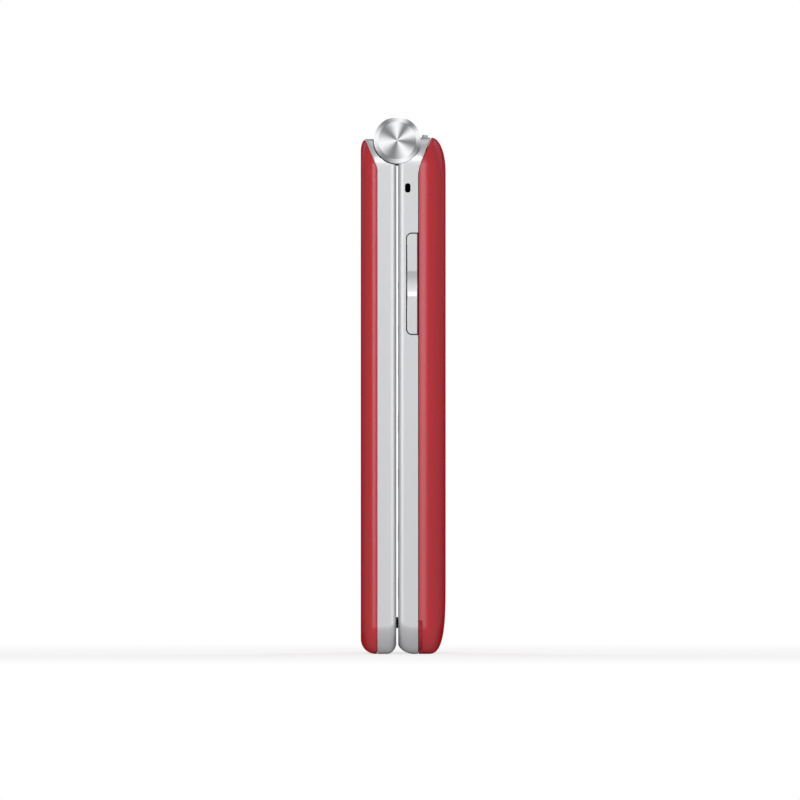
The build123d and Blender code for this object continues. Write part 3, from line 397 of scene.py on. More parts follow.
def lacquer(name, ground, flake, share, roughness, coat, bare=None, bare_and_shade_colour=None):
    """Metallic paint: a share of flakes over a coated ground colour, a little uneven in gloss.

    Bare is a function that gives 1 where a flat colour takes the place of the paint: bare plastic, and
    painted shade in recesses and holes.
    """
    paint = Finish(name, Specular_IOR_Level=0.0, Specular_Tint=(0, 0, 0, 1), Coat_Weight=coat,
                   Coat_Roughness=0.35)
    flakes = paint.noise(6.0, 1.0) * flake_spread + (share - flake_spread / 2)
    cloud = paint.noise(0.05, 3.0)
    paint_colour = paint.mix(cloud, shade(ground, 0.92), shade(ground, 1.08))
    if bare:
        inside = bare(paint)
        paint_colour = paint.mix(inside, paint_colour, bare_and_shade_colour)
        flakes = flakes * (1.0 - inside)
    gloss = roughness + paint.noise(0.06, 1.0, (1, 1, 0.4)) * 0.04 - 0.02
    paint.set("Base Color", paint_colour)
    paint.set("Roughness", gloss)
    paint.over(flakes, Base_Color=flake, Metallic=1.0, Roughness=gloss, Specular_Tint=(0, 0, 0, 1))
    return paint.material


def plastic(name, tint, roughness, grain_per_mm=3.0, grain_mm=0.01, specular=0.5):
    """Moulded plastic with the fine spark-eroded grain of its tool."""
    moulded = Finish(name, Specular_IOR_Level=specular)
    grain = moulded.noise(grain_per_mm, 4.0)
    cloud = moulded.noise(0.15, 3.0)
    moulded.set("Base Color", moulded.mix(cloud * 0.6 + grain * 0.4, shade(tint, 0.88), shade(tint, 1.14)))
    moulded.set("Roughness", roughness + cloud * 0.12 - 0.06)
    moulded.bump(grain, grain_mm)
    return moulded.material


def metal(name, tint, roughness, stretch=(1, 1, 1)):
    """Bare metal with fine drawing lines."""
    bare = Finish(name, Metallic=1.0)
    lines = bare.noise(6.0, 3.0, stretch)
    cloud = bare.noise(0.3, 3.0)
    bare.set("Base Color", bare.mix(lines * 0.5 + cloud * 0.5, shade(tint, 0.82), shade(tint, 1.1)))
    bare.set("Roughness", roughness + lines * 0.16 - 0.08)
    bare.bump(lines, 0.004)
    return bare.material


red_paint = (colour(176, 14, 19), colour(166, 158, 168), 0.12, 0.3, 0.01)
red_lacquer = lacquer("red lacquer", *red_paint)
silver_paint = (colour(167, 168, 169), colour(175, 175, 178), 0.5, 0.36, 0.03)
silver_lacquer = lacquer("silver lacquer", *silver_paint)
black_plastic = plastic("black moulded plastic", colour(30, 30, 32), 0.55)
rubber = plastic("black rubber", colour(20, 20, 21), 0.9, 5.0, 0.02, 0.08)
steel = metal("steel", colour(176, 177, 180), 0.3)
brass = metal("contact brass", colour(214, 172, 96), 0.28)


# %% Finishes of the keys, glass and metal parts
key_lacquer = lacquer("key lacquer", colour(200, 202, 206), colour(214, 216, 220), 0.3, 0.36, 0.1)
ring_metal = metal("ring metal", colour(172, 173, 176), 0.26, (0.3, 1, 6))
figure_ink = plastic("figure ink", colour(38, 39, 42), 0.5)
green_ink = plastic("call ink", colour(38, 140, 62), 0.45)
red_ink = plastic("end ink", colour(178, 34, 34), 0.45)
battery_wrap = plastic("battery wrap", colour(44, 46, 50), 0.42, 1.5, 0.01)
circuit_board = plastic("solder mask", colour(24, 74, 48), 0.38, 2.0, 0.01)
flex_ribbon = plastic("polyimide ribbon", colour(176, 106, 36), 0.4, 1.0, 0.005)
torch_plastic = plastic("torch lens plastic", colour(186, 188, 192), 0.3, 1.0, 0.004, 0.2)


row_pitch, field_border, field_blend = 0.36, 1.2, 0.04


def glass(name, tint, roughness=0.04, display=None, display_tint=None):
    """Dark glass over something black: a clean gloss with the faintest of wiping marks.

    The border is printed black on the back, and leaves a clear field over the display's box.
    """
    pane = Finish(name, Specular_IOR_Level=0.3)
    smears = pane.noise(0.12, 4.0, (1, 1, 0.35))
    pane_colour = pane.mix(smears, shade(tint, 0.8), shade(tint, 1.25))
    if display:
        low, high = box_mm(display)
        field = None
        for axis in ("X", "Z"):
            middle, half = (low + high) / 2, (high - low) / 2 - Vector((1, 1, 1)) * field_border
            index = "XYZ".index(axis)
            away = pane.math("ABSOLUTE", pane.axis(axis) - middle[index] * MM)
            near, far = half[index] - field_blend, half[index] + field_blend
            inside = 1.0 - pane.smooth(away, near * MM, far * MM)
            field = field * inside if field else inside
        rows = pane.math("SINE", pane.axis("Z") * (math.tau / row_pitch / MM)) * 0.08 + 1.0
        lit = pane.mix(rows - 0.92, shade(display_tint, 0.94), shade(display_tint, 1.3))
        pane_colour = pane.mix(field, pane_colour, lit)
    pane.set("Base Color", pane_colour)
    pane.set("Roughness", roughness + smears * 0.08)
    return pane.material


outer_glass = glass("outer window glass", colour(9, 9, 11), 0.04, "outer_display", colour(30, 34, 36))
screen_glass = glass("screen glass", colour(9, 9, 11), 0.04, "main_display", colour(32, 37, 42))
lens_glass = glass("camera lens glass", colour(10, 12, 24), 0.02)

# %% [markdown]
# ### Spun metal
# Turning leaves rings round the middle of a cap, which on the real caps break the light up in bright and
# dark wedges. The bump follows the distance from the hinge line alone. The wedges are painted into the
# colour, as highlights and dark reflections: they follow the bearing round that line, from 12 o'clock,
# four of each, bent a little so that no two are alike, and turned on at the rim, where the face ends.

# %% Finish of the hinge caps
def spun(name, tint):
    """Metal with fine rings round the hinge line, and wedges of highlight and dark reflection painted into
    its colour.
    """
    disc = Finish(name, Metallic=1.0)
    across = disc.axis("Y") - gap_y * MM
    up = disc.axis("Z") - hinge_z * MM
    radius = disc.math("POWER", across * across + up * up, 0.5)
    rings = disc.node("ShaderNodeTexNoise", {"noise_dimensions": "1D"}, {
        "W": radius * (9.0 / MM), "Scale": 1.0, "Detail": 3.0})
    rings = disc.wire(rings)
    bearing = disc.math("ARCTAN2", -1.0 * across, -1.0 * up) + math.pi
    bent = bearing + disc.math("SINE", bearing * 0.5) * 0.52 + disc.math("SINE", bearing) * 0.21
    rim = disc.smooth(radius, (cap_face - 0.1) * MM, (cap_face + 0.1) * MM)
    # Bright and dark wedges by bearing, painted into the colour: painted highlights and painted dark
    # reflections.
    painted_wedge_light = disc.math("COSINE", bent * 4.0 - rim * 0.9) * 0.5 + 0.5
    share = painted_wedge_light * 0.9 + rings * 0.2 - 0.05
    disc.set("Base Color", disc.mix(share, shade(tint, 0.32), shade(tint, 1.6)))
    disc.set("Roughness", 0.06 + rings * 0.05)
    disc.bump(rings, 0.001, 0.3)
    return disc.material


spun_metal = spun("spun metal", colour(204, 205, 207))

# %% [markdown]
# ## The red covers
# Each cover is a shallow moulded shell. Its outer face is flat, and rounds over into walls that run
# straight to the seam. By hand that is one block with rounded corners whose face is extruded in small
# steps, each a little smaller than the last, as far in as the curve says. The steps crowd together
# near the face, where the curve turns fastest. Then the seam side is opened and Solidify gives the
# shell its wall. Cuts and softened edges disturb the shading of such long gentle faces, so a plain
# form without them serves as a guide: each outer face is shaded like the guide's surface next to it.

# %% Rounded shells
def drawn_in(distance, edge):
    """How far an edge is drawn in at a distance behind the face that it rounds into."""
    if distance >= edge.depth:
        return 0.0
    rise = 1 - (1 - distance / edge.depth) ** edge.power
    return edge.draw * (1 - rise ** (1 / edge.power))


def rounding(face_y, inward, height, side, bottom, top, steps=36):
    """Stations from where the walls run straight out to the face: y, width, lowest and highest z."""
    reach = max(side.depth, bottom.depth, top.depth)
    stations = []
    for step in range(steps, -1, -1):
        distance = reach * (step / steps) ** 2
        width = 2 * (half_width - drawn_in(distance, side))
        low = drawn_in(distance, bottom)
        high = height - drawn_in(distance, top)
        stations.append((face_y + inward * distance, width, low, high))
    return stations


def rounded_form(name, face_y, seam_y, height, side, bottom, top):
    """A half of the phone from its seam to its outer face, still open in edit mode."""
    inward = 1 if seam_y > face_y else -1
    stations = rounding(face_y, inward, height, side, bottom, top)
    low_y, high_y = sorted((stations[0][0], seam_y))
    form = rounded_block(name, (-half_width, low_y, 0), (half_width, high_y, height), plan_radius, 12)
    pick("faces", lambda face: facing(face, 1, -inward))
    follow(stations)
    return form


wedge_half, wedge_deep, beyond = 40, 20, 5


def seam_wedge(name, seam_y, outward, bend_z, lean, top_z, radius=3.0):
    """All that the seam cuts off: it rises straight, then leans towards the outer face."""
    low_y, high_y = sorted((seam_y, seam_y - outward * wedge_deep))
    wedge = rounded_block(name, (-wedge_half, low_y, -beyond), (wedge_half, high_y, bend_z), 0)
    pick("faces", lambda face: facing(face, 2, 1))
    bpy.ops.mesh.extrude_region_move(TRANSFORM_OT_translate={"value": (0, 0, (top_z - bend_z) * MM)})
    pick("verts", lambda vert: vert.co.z > (top_z - 1) * MM and abs(vert.co.y - seam_y * MM) < MM)
    lean_y = outward * lean * (top_z - bend_z)
    bpy.ops.transform.translate(value=(0, lean_y * MM, 0))
    at_bend = Vector((0, seam_y, bend_z)) * MM
    pick("edges", lambda edge: along(edge, 0) and (edge.verts[0].co - at_bend).yz.length < 0.5 * MM)
    tangent = radius * math.tan(math.atan(lean) / 2)
    bpy.ops.mesh.bevel(offset=tangent * MM, offset_type="WIDTH", segments=6, affect="EDGES")
    close()
    return wedge


def open_shell(piece, seam_side, wall):
    """Takes away the faces on the seam's side and gives the shell its wall, inwards."""
    only(piece)
    bpy.ops.object.mode_set(mode="EDIT")
    found = pick("faces", lambda face: face.normal.y * seam_side > 0.5)
    bpy.ops.mesh.delete(type="FACE")
    close()
    modify(piece, "SOLIDIFY", thickness=wall * MM, offset=-1, use_even_offset=True)
    print(piece.name, "opened over", found, "faces")


def sliced(heights):
    """Cuts the open piece across at heights z, so that no face is long and thin."""
    for z in heights:
        bpy.ops.mesh.select_all(action="SELECT")
        bpy.ops.mesh.bisect(plane_co=(0, 0, z * MM), plane_no=(0, 0, 1))


def shaded_like(piece, guide, reach):
    """Gives the faces within reach of a guide the guide's smooth shading, and drops the guide."""
    close_if_open(guide)
    smooth(guide, 50)
    modify(piece, "DATA_TRANSFER", object=guide, use_loop_data=True, data_types_loops={"CUSTOM_NORMAL"},
           loop_mapping="POLYINTERP_LNORPROJ", use_max_distance=True, max_distance=reach * MM)
    bpy.data.objects.remove(guide)

# %% [markdown]
# The lid's cover: its seam runs straight up the side and leans outward just under the hinge. The form
# is made a little too deep, and a wedge with the shape of the seam is cut away from it. A shallow
# rebate along the seam makes the dark line between cover and frame. The window sits in a pocket with
# a ledge.

# %% Cover of the lid
lid_side, lid_bottom, lid_top = Edge(3.1, 5.0, 2.0), Edge(3.06, 3.0, 2.0), Edge(1.0, 2.4, 2.0)
lid_seam, lid_bend, lid_lean, lid_wall, spare = -5.22, 5.9, 0.43, 1.2, 0.5
shadow_line, shadow_depth = 0.12, 0.3
window_low, window_high = box_mm("outer_window")
window_ledge, glass_gap, window_corner = 1.2, 0.08, 4.0
heights, guide_reach, cover_edge = range(8, 100, 7), 0.3, 0.06

lid_shape = (lid_low.y, lid_seam + spare, lid_high.z, lid_side, lid_bottom, lid_top)
lid_cover = rounded_form("lid_cover", *lid_shape)
sliced(heights)
close()
lid_curve = (-1, lid_high.z - lid_bend, lid_lean, lid_high.z + beyond)
cut(lid_cover, seam_wedge("lid_wedge", lid_seam, *lid_curve))
open_shell(lid_cover, 1, lid_wall)
groove = seam_wedge("groove", lid_seam - shadow_line, *lid_curve)
inset_low = Vector((shadow_depth - half_width, -wedge_deep, shadow_depth))
inset_high = Vector((half_width - shadow_depth, wedge_deep, lid_high.z - shadow_depth))
cut(groove, rounded_block("inset", inset_low, inset_high, plan_radius - shadow_depth, 12))
cut(lid_cover, groove)
pocket_low = Vector((window_low.x - glass_gap, lid_low.y - 1, window_low.z - glass_gap))
pocket_high = Vector((window_high.x + glass_gap, window_high.y, window_high.z + glass_gap))
cut(lid_cover, rounded_block("window_pocket", pocket_low, pocket_high, window_corner, 12))
ledge = Vector((window_ledge, 0, window_ledge))
through = rounded_block("window_opening", pocket_low + ledge, pocket_high - ledge + Vector((0, 3, 0)),
                        window_corner - window_ledge, 12)
cut(lid_cover, through)
soften(lid_cover, cover_edge)
shaded_like(lid_cover, rounded_form("guide", *lid_shape), guide_reach)
settle(lid_cover, "lid", "red_lacquer", red_lacquer, "lid_outer_cover")

# %% [markdown]
# The battery cover is deeper and rounder: its face is drawn in a long way at the foot, which gives
# the phone its soft heel. It has five slots for the speaker, and a notch on each side for a
# fingernail, low on the seam. A thin seal lies in the seam.

# %% Battery cover
base_side, base_bottom, base_top = Edge(5.4, 7.5, 2.0), Edge(3.7, 13.75, 3.0), Edge(2.8, 6.75, 2.0)
base_seam, cover_wall, seam_groove = 3.02, 1.0, 0.15
base_bend, base_lean, base_bend_radius = 6.6, 0.385, 8.0
speaker_z = (box_mm("loudspeaker")[0].z + box_mm("loudspeaker")[1].z) / 2
slot_pitch, slot_width, slot_height, slot_count = 2.0, 9.0, 0.9, 5
notch_depth, notch_reach, notch_high = 0.35, 3.2, 6.8
notch_end = base_seam + seam_groove + 0.75

back_shape = (back_high.y, base_seam + seam_groove - spare, back_high.z, base_side, base_bottom, base_top)
battery_lid = rounded_form("battery_lid", *back_shape)
sliced(heights)
close()
cut(battery_lid, seam_wedge("base_wedge", base_seam + seam_groove, 1, back_high.z - base_bend,
                            base_lean, back_high.z + beyond, base_bend_radius))
open_shell(battery_lid, -1, cover_wall)
for index in range(slot_count):
    z = speaker_z + (index - (slot_count - 1) / 2) * slot_pitch
    slot = rounded_block("speaker_slot", (-slot_width / 2, back_high.y - 2, z - slot_height / 2),
                         (slot_width / 2, back_high.y + 2, z + slot_height / 2), slot_height / 2 - 0.02)
    cut(battery_lid, slot)
for side in (-1, 1):
    near, far = sorted((side * (half_width - notch_reach), side * (half_width + 1)))
    notch = rounded_block("notch", (near, base_seam - 1, -1), (far, notch_end, notch_high), 0)
    kept_low = Vector((notch_depth - half_width, base_seam - 2, notch_depth))
    kept_high = Vector((half_width - notch_depth, base_seam + 2, 2 * notch_high + plan_radius))
    close()
    cut(notch, rounded_block("kept", kept_low, kept_high, plan_radius - notch_depth, 12))
    cut(battery_lid, notch)
soften(battery_lid, cover_edge)
shaded_like(battery_lid, rounded_form("guide", *back_shape), guide_reach)


def notch_shade_mask(paint):
    """1 in the notches and on the walls behind the seam: painted shade in the notches, and the unpainted
    inside of the cover behind the seam.
    """
    near_seam = 1.0 - paint.smooth(paint.axis("Y"), (notch_end + 0.02) * MM, (notch_end + 0.1) * MM)
    return near_seam * inside_plan(paint, 0.2)


# A flat purplish red paints the shade in the notches, and stands for bare plastic behind the seam.
back_lacquer = lacquer("red back lacquer", *red_paint, notch_shade_mask, colour(172, 46, 58))
settle(battery_lid, "battery_cover", "red_lacquer", back_lacquer, "battery_cover")

seal_inset, seal_width, seal_fit = 0.2, 1.0, 0.02
seal_low = Vector((seal_inset - half_width, base_seam + seal_fit, seal_inset))
seal_high = Vector((half_width - seal_inset, base_seam + seam_groove - seal_fit, back_high.z - base_bend))
rim = Vector((seal_width, -1, seal_width))
cover_seal = rounded_block("cover_seal", seal_low, seal_high, plan_radius - seal_inset)
close()
opening_corner = plan_radius - seal_inset - seal_width
cut(cover_seal, rounded_block("seal_opening", seal_low + rim, seal_high - rim, opening_corner))
settle(cover_seal, "battery_cover", "rubber", rubber)

# %% [markdown]
# ## The silver frames
# The frames hold dozens of openings that have to fit other pieces, so their shape is taken from the
# construction. A CAD mesh is loose triangles with hard edges. A copy of it is merged into one skin,
# flat areas become single faces again, and every sharp edge gets the small radius that a mould leaves,
# which is what catches the light.

# %% A finished copy of a CAD node
def dressed(node, edge_mm, angle=35, slices=()):
    """A merged copy of a CAD node with softened edges. Long faces can be sliced at heights z.

    Where edges are closer together than the softening, a corner can overshoot: such points go back.
    """
    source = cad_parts[node]
    piece = bpy.data.objects.new(node + "_skin", source.data.copy())
    bpy.context.scene.collection.objects.link(piece)
    only(piece)
    bpy.ops.object.mode_set(mode="EDIT")
    bpy.ops.mesh.select_all(action="SELECT")
    bpy.ops.mesh.customdata_custom_splitnormals_clear()
    bpy.ops.mesh.remove_doubles(threshold=0.002 * MM)
    bpy.ops.mesh.dissolve_limited(angle_limit=math.radians(0.3))
    sliced(slices)
    close()
    soften(piece, edge_mm, 2, angle)
    strays = 0
    for vert in piece.data.vertices:
        near = source.closest_point_on_mesh(vert.co)[1]
        if (vert.co - near).length > edge_mm * MM:
            vert.co = near
            strays += 1
    print(node, "has", strays, "stray points put back on its surface")
    return piece


# %% [markdown]
# The outer faces of a frame get their shading from a guide too, a plain smooth form of the whole half
# of the phone.

# %% The frames
inner_side, square_edge = Edge(1.2, 0.75, 2.0), Edge(0.1, 0.0, 2.0)
lid_thumb_edge, base_thumb_edge = Edge(1.65, 1.87, 1.6), Edge(2.8, 1.94, 1.6)
frame_edge = 0.05


def guided(piece, face_y, gap_face_y, height, outer_edges, thumb_edge):
    """Shades the outer faces of a piece like a smooth form of the whole half."""
    inward = 1 if gap_face_y > face_y else -1
    guide = rounded_form("guide", face_y, gap_face_y - inward * thumb_edge.depth, height, *outer_edges)
    pick("faces", lambda face: facing(face, 1, inward))
    follow(rounding(gap_face_y, -inward, height, inner_side, thumb_edge, square_edge))
    shaded_like(piece, guide, guide_reach)


# Near-black inside the frames' walls: the bare plastic, and painted shade in the holes that look into them.
moulding_and_shade = colour(26, 26, 28)
lid_frame_lacquer = lacquer("lid frame lacquer", *silver_paint,
                            lambda paint: behind_face(paint, -1), moulding_and_shade)
base_frame_lacquer = lacquer("base frame lacquer", *silver_paint,
                             lambda paint: behind_face(paint, 1), moulding_and_shade)

lid_frame = dressed("lid_inner_housing", frame_edge, slices=heights)
guided(lid_frame, lid_low.y, gap_y - closed_gap / 2, lid_high.z, (lid_side, lid_bottom, lid_top),
       lid_thumb_edge)
settle(lid_frame, "lid", "silver_lacquer", lid_frame_lacquer, "lid_inner_housing")

base_frame = dressed("base_front_housing", frame_edge, slices=heights)
guided(base_frame, back_high.y, gap_y + closed_gap / 2, back_high.z,
       (base_side, base_bottom, base_top), base_thumb_edge)
settle(base_frame, "base", "silver_lacquer", base_frame_lacquer, "base_front_housing")

# %% [markdown]
# ## Hinge caps
# Two turned discs close the ends of the hinge. On the real ones the face is spun: a tool has drawn
# fine rings round its middle, and the light breaks up in wedges; here the wedges are painted into the
# colour as highlights and dark reflections. The discs are turned here too, from a circle that is
# extruded and scaled through a short profile.

# %% Hinge caps and barrel
cap_start, cap_end, cap_bevel = 26.25, cap_high.x, 0.45
cap_profile = [
    (cap_start, cap_radius - 0.25), (cap_start + 0.15, cap_radius),
    (cap_end - cap_bevel - 0.1, cap_radius), (cap_end - cap_bevel, cap_radius - 0.06),
    (cap_end - 0.06, cap_face + 0.09), (cap_end, cap_face), (cap_end, cap_face - 0.1),
    (cap_end - 0.05, cap_face - 0.16), (cap_end - 0.05, 1.2), (cap_end - 0.06, 0.2),
]
for side, name in ((1, "right_hinge_cap"), (-1, "left_hinge_cap")):
    cap = turned(name, side, cap_profile)
    only(cap)
    bpy.ops.object.shade_smooth_by_angle(angle=math.radians(18))
    settle(cap, "base", "camera_metal", spun_metal, *(("hinge_caps",) if side > 0 else ()))
settle(dressed("lid_hinge_barrel", 0.1), "lid", "silver_lacquer", silver_lacquer, "lid_hinge_barrel")

# %% [markdown]
# ## Keys
# The keypad is sixteen plain keys and a four-way ring. Each key is a moulded cap on a thin flange, with
# a plunger that reaches its dome. One cap is a rounded block whose face is extruded in a few shrinking
# steps, so that it is crowned like a pillow and pleasant under a thumb. Number keys and side keys are
# each modelled once, and copied with their own mesh.

# %% One key
def key_middle(node):
    """The middle of a key, seen from the front, in millimetres."""
    low, high = box_mm(node)
    return (low.x + high.x) / 2, (low.z + high.z) / 2


flange = 0.35
key_top = box_mm("key_5")[0].y
key_depth = box_mm("key_5")[1].y - key_top
key_shoulder, flange_depth, plunger_radius = 0.45, 1.7, 1.2
crown = ((0.3, 0.04), (0.19, 0.14), (0.11, 0.32), (0.05, 0.75), (0.015, 1.5), (0.0, 2.4))


def key_shape(name, node, corner=2.6):
    """A crowned cap with its flange and plunger, about the place of one CAD key."""
    low, high = box_mm(node)
    x, z = key_middle(node)
    half_x = (high.x - low.x) / 2 - flange
    half_z = (high.z - low.z) / 2 - flange
    cap = rounded_block(name, (x - half_x, key_top + key_shoulder, z - half_z),
                        (x + half_x, key_top + flange_depth - 0.02, z + half_z), corner, 8)
    pick("faces", lambda face: facing(face, 1, -1))
    stations = [(key_top + key_shoulder, 2 * half_x, z - half_z, z + half_z)]
    for depth, draw in crown:
        stations.append((key_top + depth, 2 * (half_x - draw), z - half_z + draw, z + half_z - draw))
    follow(stations, x)
    close()
    rim = rounded_block("flange", (low.x, key_top + flange_depth - 0.3, low.z),
                        (high.x, key_top + flange_depth, high.z), corner, 6)
    close()
    plunger_low = key_top + flange_depth - 0.1
    bpy.ops.mesh.primitive_cylinder_add(
        vertices=24, radius=plunger_radius * MM, depth=(key_top + key_depth - plunger_low) * MM,
        location=Vector((x, (plunger_low + key_top + key_depth) / 2, z)) * MM,
        rotation=(math.radians(90), 0, 0))
    plunger = take("plunger")
    close()
    key = merged([cap, rim, plunger], name)
    only(key)
    bpy.ops.object.shade_smooth_by_angle(angle=math.radians(32))
    return key


def copy_to(piece, name, x, z):
    """A copy with its own mesh, moved across the front."""
    twin = piece.copy()
    twin.data = piece.data.copy()
    twin.name = name
    bpy.context.scene.collection.objects.link(twin)
    only(twin)
    bpy.ops.object.mode_set(mode="EDIT")
    bpy.ops.mesh.select_all(action="SELECT")
    bpy.ops.transform.translate(value=(x * MM, 0, z * MM))
    close()
    return twin


rows = (("key_1", "key_2", "key_3"), ("key_4", "key_5", "key_6"), ("key_7", "key_8", "key_9"),
        ("key_star", "key_0", "key_hash"))
side_keys = ("key_menu_left", "key_menu_right", "key_call", "key_end")
number_pattern = key_shape("number_pattern", "key_5")
side_pattern = key_shape("side_pattern", "key_menu_left")
patterns = ((number_pattern, "key_5", sum(rows, ())), (side_pattern, "key_menu_left", side_keys))
for pattern, origin, names in patterns:
    from_x, from_z = key_middle(origin)
    for node in names:
        to_x, to_z = key_middle(node)
        cap = copy_to(pattern, node + "_cap", to_x - from_x, to_z - from_z)
        slot = {"key_call": "call_key", "key_end": "end_key"}.get(node, "number_key")
        settle(cap, node, slot, key_lacquer, node)
    bpy.data.objects.remove(pattern)

# %% [markdown]
# The ring round the select key rocks on two tabs. The select key is a turned button in its middle.

# %% Ring and select key
settle(dressed("nav_ring", 0.16, 50), "nav_ring", "silver_key", ring_metal, "nav_ring")
settle(dressed("key_select", 0.12, 50), "key_select", "select_key", red_lacquer, "key_select")

# %% [markdown]
# ### Marks on the keys
# Numbers are printed on the keys: text set flat, turned to the front, given a hair of thickness and
# made a mesh. The call and end marks are handsets: a bow with two blocks at its ends, spun from a short
# edge. Green is for call and red for end. The menu keys carry a dash, and the ring four small arrows.

# %% Numbers
mark_y, mark_depth, figure_size, star_drop = key_top - 0.012, 0.03, 5.2, 1.0


def printed(name, text, x, z, size):
    """A printed figure, centred on a key."""
    bpy.ops.object.text_add(location=Vector((x, mark_y, z)) * MM, rotation=(math.radians(90), 0, 0))
    mark = bpy.context.object
    mark.data.body = text
    mark.data.size = size * MM
    mark.data.align_x = "CENTER"
    mark.data.align_y = "CENTER"
    mark.data.extrude = 0.02 * MM
    only(mark)
    bpy.ops.object.convert(target="MESH")
    mark = take(name)
    bpy.ops.mesh.select_all(action="SELECT")
    bpy.ops.mesh.remove_doubles(threshold=0.001 * MM)
    close()
    return mark


for row in rows:
    for node in row:
        x, z = key_middle(node)
        figure = {"star": "*", "hash": "#"}.get(node[4:], node[4:])
        drop = star_drop if figure == "*" else 0.0
        mark = printed(node + "_figure", figure, x, z - drop, figure_size)
        settle(mark, node, "number_key", figure_ink)

# %% Call, end, menu and arrow marks
bow_start, ear_half_x, ear_half_z, ear_drop = math.radians(38), 0.6, 0.5, 0.2
dash_half_x, dash_half_z, arrow_radius, arrow_corner = 1.7, 0.22, 0.85, 0.12


def handset(name, x, z, tilt, radius=2.1, thick=0.72, low=1.2):
    """A handset: a bow spun from a short edge, with a block at each end, tilted by an angle."""
    centre = Vector((x, mark_y, z - low)) * MM
    bpy.ops.mesh.primitive_plane_add(size=1, location=centre)
    piece = take(name)
    bpy.ops.mesh.select_all(action="SELECT")
    bpy.ops.mesh.delete(type="ONLY_FACE")
    pick("verts", lambda vert: vert.co.y > centre.y)
    bpy.ops.mesh.delete(type="VERT")
    shape = bmesh.from_edit_mesh(piece.data)
    for vert, far in zip(shape.verts, (radius - thick / 2, radius + thick / 2)):
        vert.co = centre + Vector((far * math.cos(bow_start), 0, far * math.sin(bow_start))) * MM
    bmesh.update_edit_mesh(piece.data)
    bpy.ops.mesh.select_all(action="SELECT")
    bpy.ops.mesh.spin(steps=16, angle=math.pi - 2 * bow_start, center=centre, axis=(0, 1, 0))
    bpy.ops.mesh.select_all(action="SELECT")
    bpy.ops.mesh.extrude_region_move(TRANSFORM_OT_translate={"value": (0, mark_depth * MM, 0)})
    bpy.ops.mesh.select_all(action="SELECT")
    bpy.ops.mesh.normals_make_consistent(inside=False)
    close()
    ends = []
    for side in (-1, 1):
        ear_x = x + side * radius * math.cos(bow_start)
        ear_z = z - low + radius * math.sin(bow_start) - ear_drop
        ends.append(rounded_block(
            "end", (ear_x - ear_half_x, mark_y, ear_z - ear_half_z),
            (ear_x + ear_half_x, mark_y + mark_depth, ear_z + ear_half_z), 0.22, 4))
        close()
    whole = merged([piece, *ends], name)
    only(whole)
    bpy.ops.object.mode_set(mode="EDIT")
    bpy.ops.mesh.select_all(action="SELECT")
    middle = Vector((x, mark_y, z)) * MM
    bpy.ops.transform.rotate(value=math.radians(tilt), orient_axis="Y", center_override=middle)
    close()
    return whole


call_x, call_z = key_middle("key_call")
end_x, end_z = key_middle("key_end")
settle(handset("call_handset", call_x, call_z, 45), "key_call", "call_key", green_ink)
settle(handset("end_handset", end_x, end_z, 0), "key_end", "end_key", red_ink)
for node in ("key_menu_left", "key_menu_right"):
    x, z = key_middle(node)
    dash = rounded_block(node + "_dash", (x - dash_half_x, mark_y, z - dash_half_z),
                         (x + dash_half_x, mark_y + mark_depth, z + dash_half_z), 0.2, 4)
    settle(dash, node, "number_key", figure_ink)

nav_x, nav_z = key_middle("key_select")
nav_reach_x, nav_reach_z = 8.0, 8.6
bearings = (("up", 0, 1, 0), ("down", 0, -1, 180), ("left", -1, 0, -90), ("right", 1, 0, 90))
for name, dx, dz, turn in bearings:
    place = Vector((nav_x + dx * nav_reach_x, mark_y, nav_z + dz * nav_reach_z)) * MM
    bpy.ops.mesh.primitive_cylinder_add(
        vertices=3, radius=arrow_radius * MM, depth=mark_depth * MM, location=place,
        rotation=(math.radians(90), math.radians(turn), 0))
    arrow = take("arrow_" + name)
    pick("edges", lambda edge: along(edge, 1))
    bpy.ops.mesh.bevel(offset=arrow_corner * MM, segments=3, affect="EDGES")
    settle(arrow, "nav_ring", "silver_key", figure_ink)

# %% [markdown]
# ## Volume rocker, windows, camera and small pieces
# The rocker, the glass, the rubber pads and the rest take their shape from their CAD nodes. Those that
# show are copied and softened, and those inside get a material on the node itself. The rocker's scoop
# is cut again, a little deeper, with a fine round cutter. The soft pads swell a little, until they all
# but touch the base.

# %% Pieces that show
pad_swell, scoop_half, scoop_depth, cutter_length = 0.045, 2.6, 0.4, 10
rocker = dressed("volume_rocker", 0.12)
rocker_low, rocker_high = box_mm("volume_rocker")
scoop_radius = (scoop_half ** 2 + scoop_depth ** 2) / (2 * scoop_depth)
scoop_x = rocker_high.x - scoop_depth + scoop_radius
bpy.ops.mesh.primitive_cylinder_add(
    vertices=256, radius=scoop_radius * MM, depth=cutter_length * MM, rotation=(math.radians(90), 0, 0),
    location=Vector((scoop_x, rocker_low.y, (rocker_low.z + rocker_high.z) / 2)) * MM)
cut(rocker, take("scoop"))
smooth(rocker, 12)
settle(rocker, "volume_rocker", "silver_key", silver_lacquer, "volume_rocker")
settle(dressed("outer_window", 0.15, 60), "lid", "dark_glass", outer_glass, "outer_window")
settle(dressed("main_window", 0.12, 60), "lid", "dark_glass", screen_glass, "main_window")
settle(dressed("camera_module", 0.08, 50), "lid", "camera_metal", steel, "camera_module")
settle(dressed("camera_lens", 0.1, 50), "lid", "camera_glass", lens_glass, "camera_lens")
pads = dressed("lid_bumpers", 0.1, 50)
only(pads)
bpy.ops.object.mode_set(mode="EDIT")
pick("verts", lambda vert: vert.co.y > gap_y * MM)
bpy.ops.transform.translate(value=(0, pad_swell * MM, 0))
settle(pads, "lid", "rubber", rubber, "lid_bumpers")
settle(dressed("lid_screw_plugs", 0.08, 50), "lid", "silver_lacquer", silver_lacquer, "lid_screw_plugs")
settle(dressed("torch_lens", 0.12, 50), "base", "camera_glass", torch_plastic, "torch_lens")

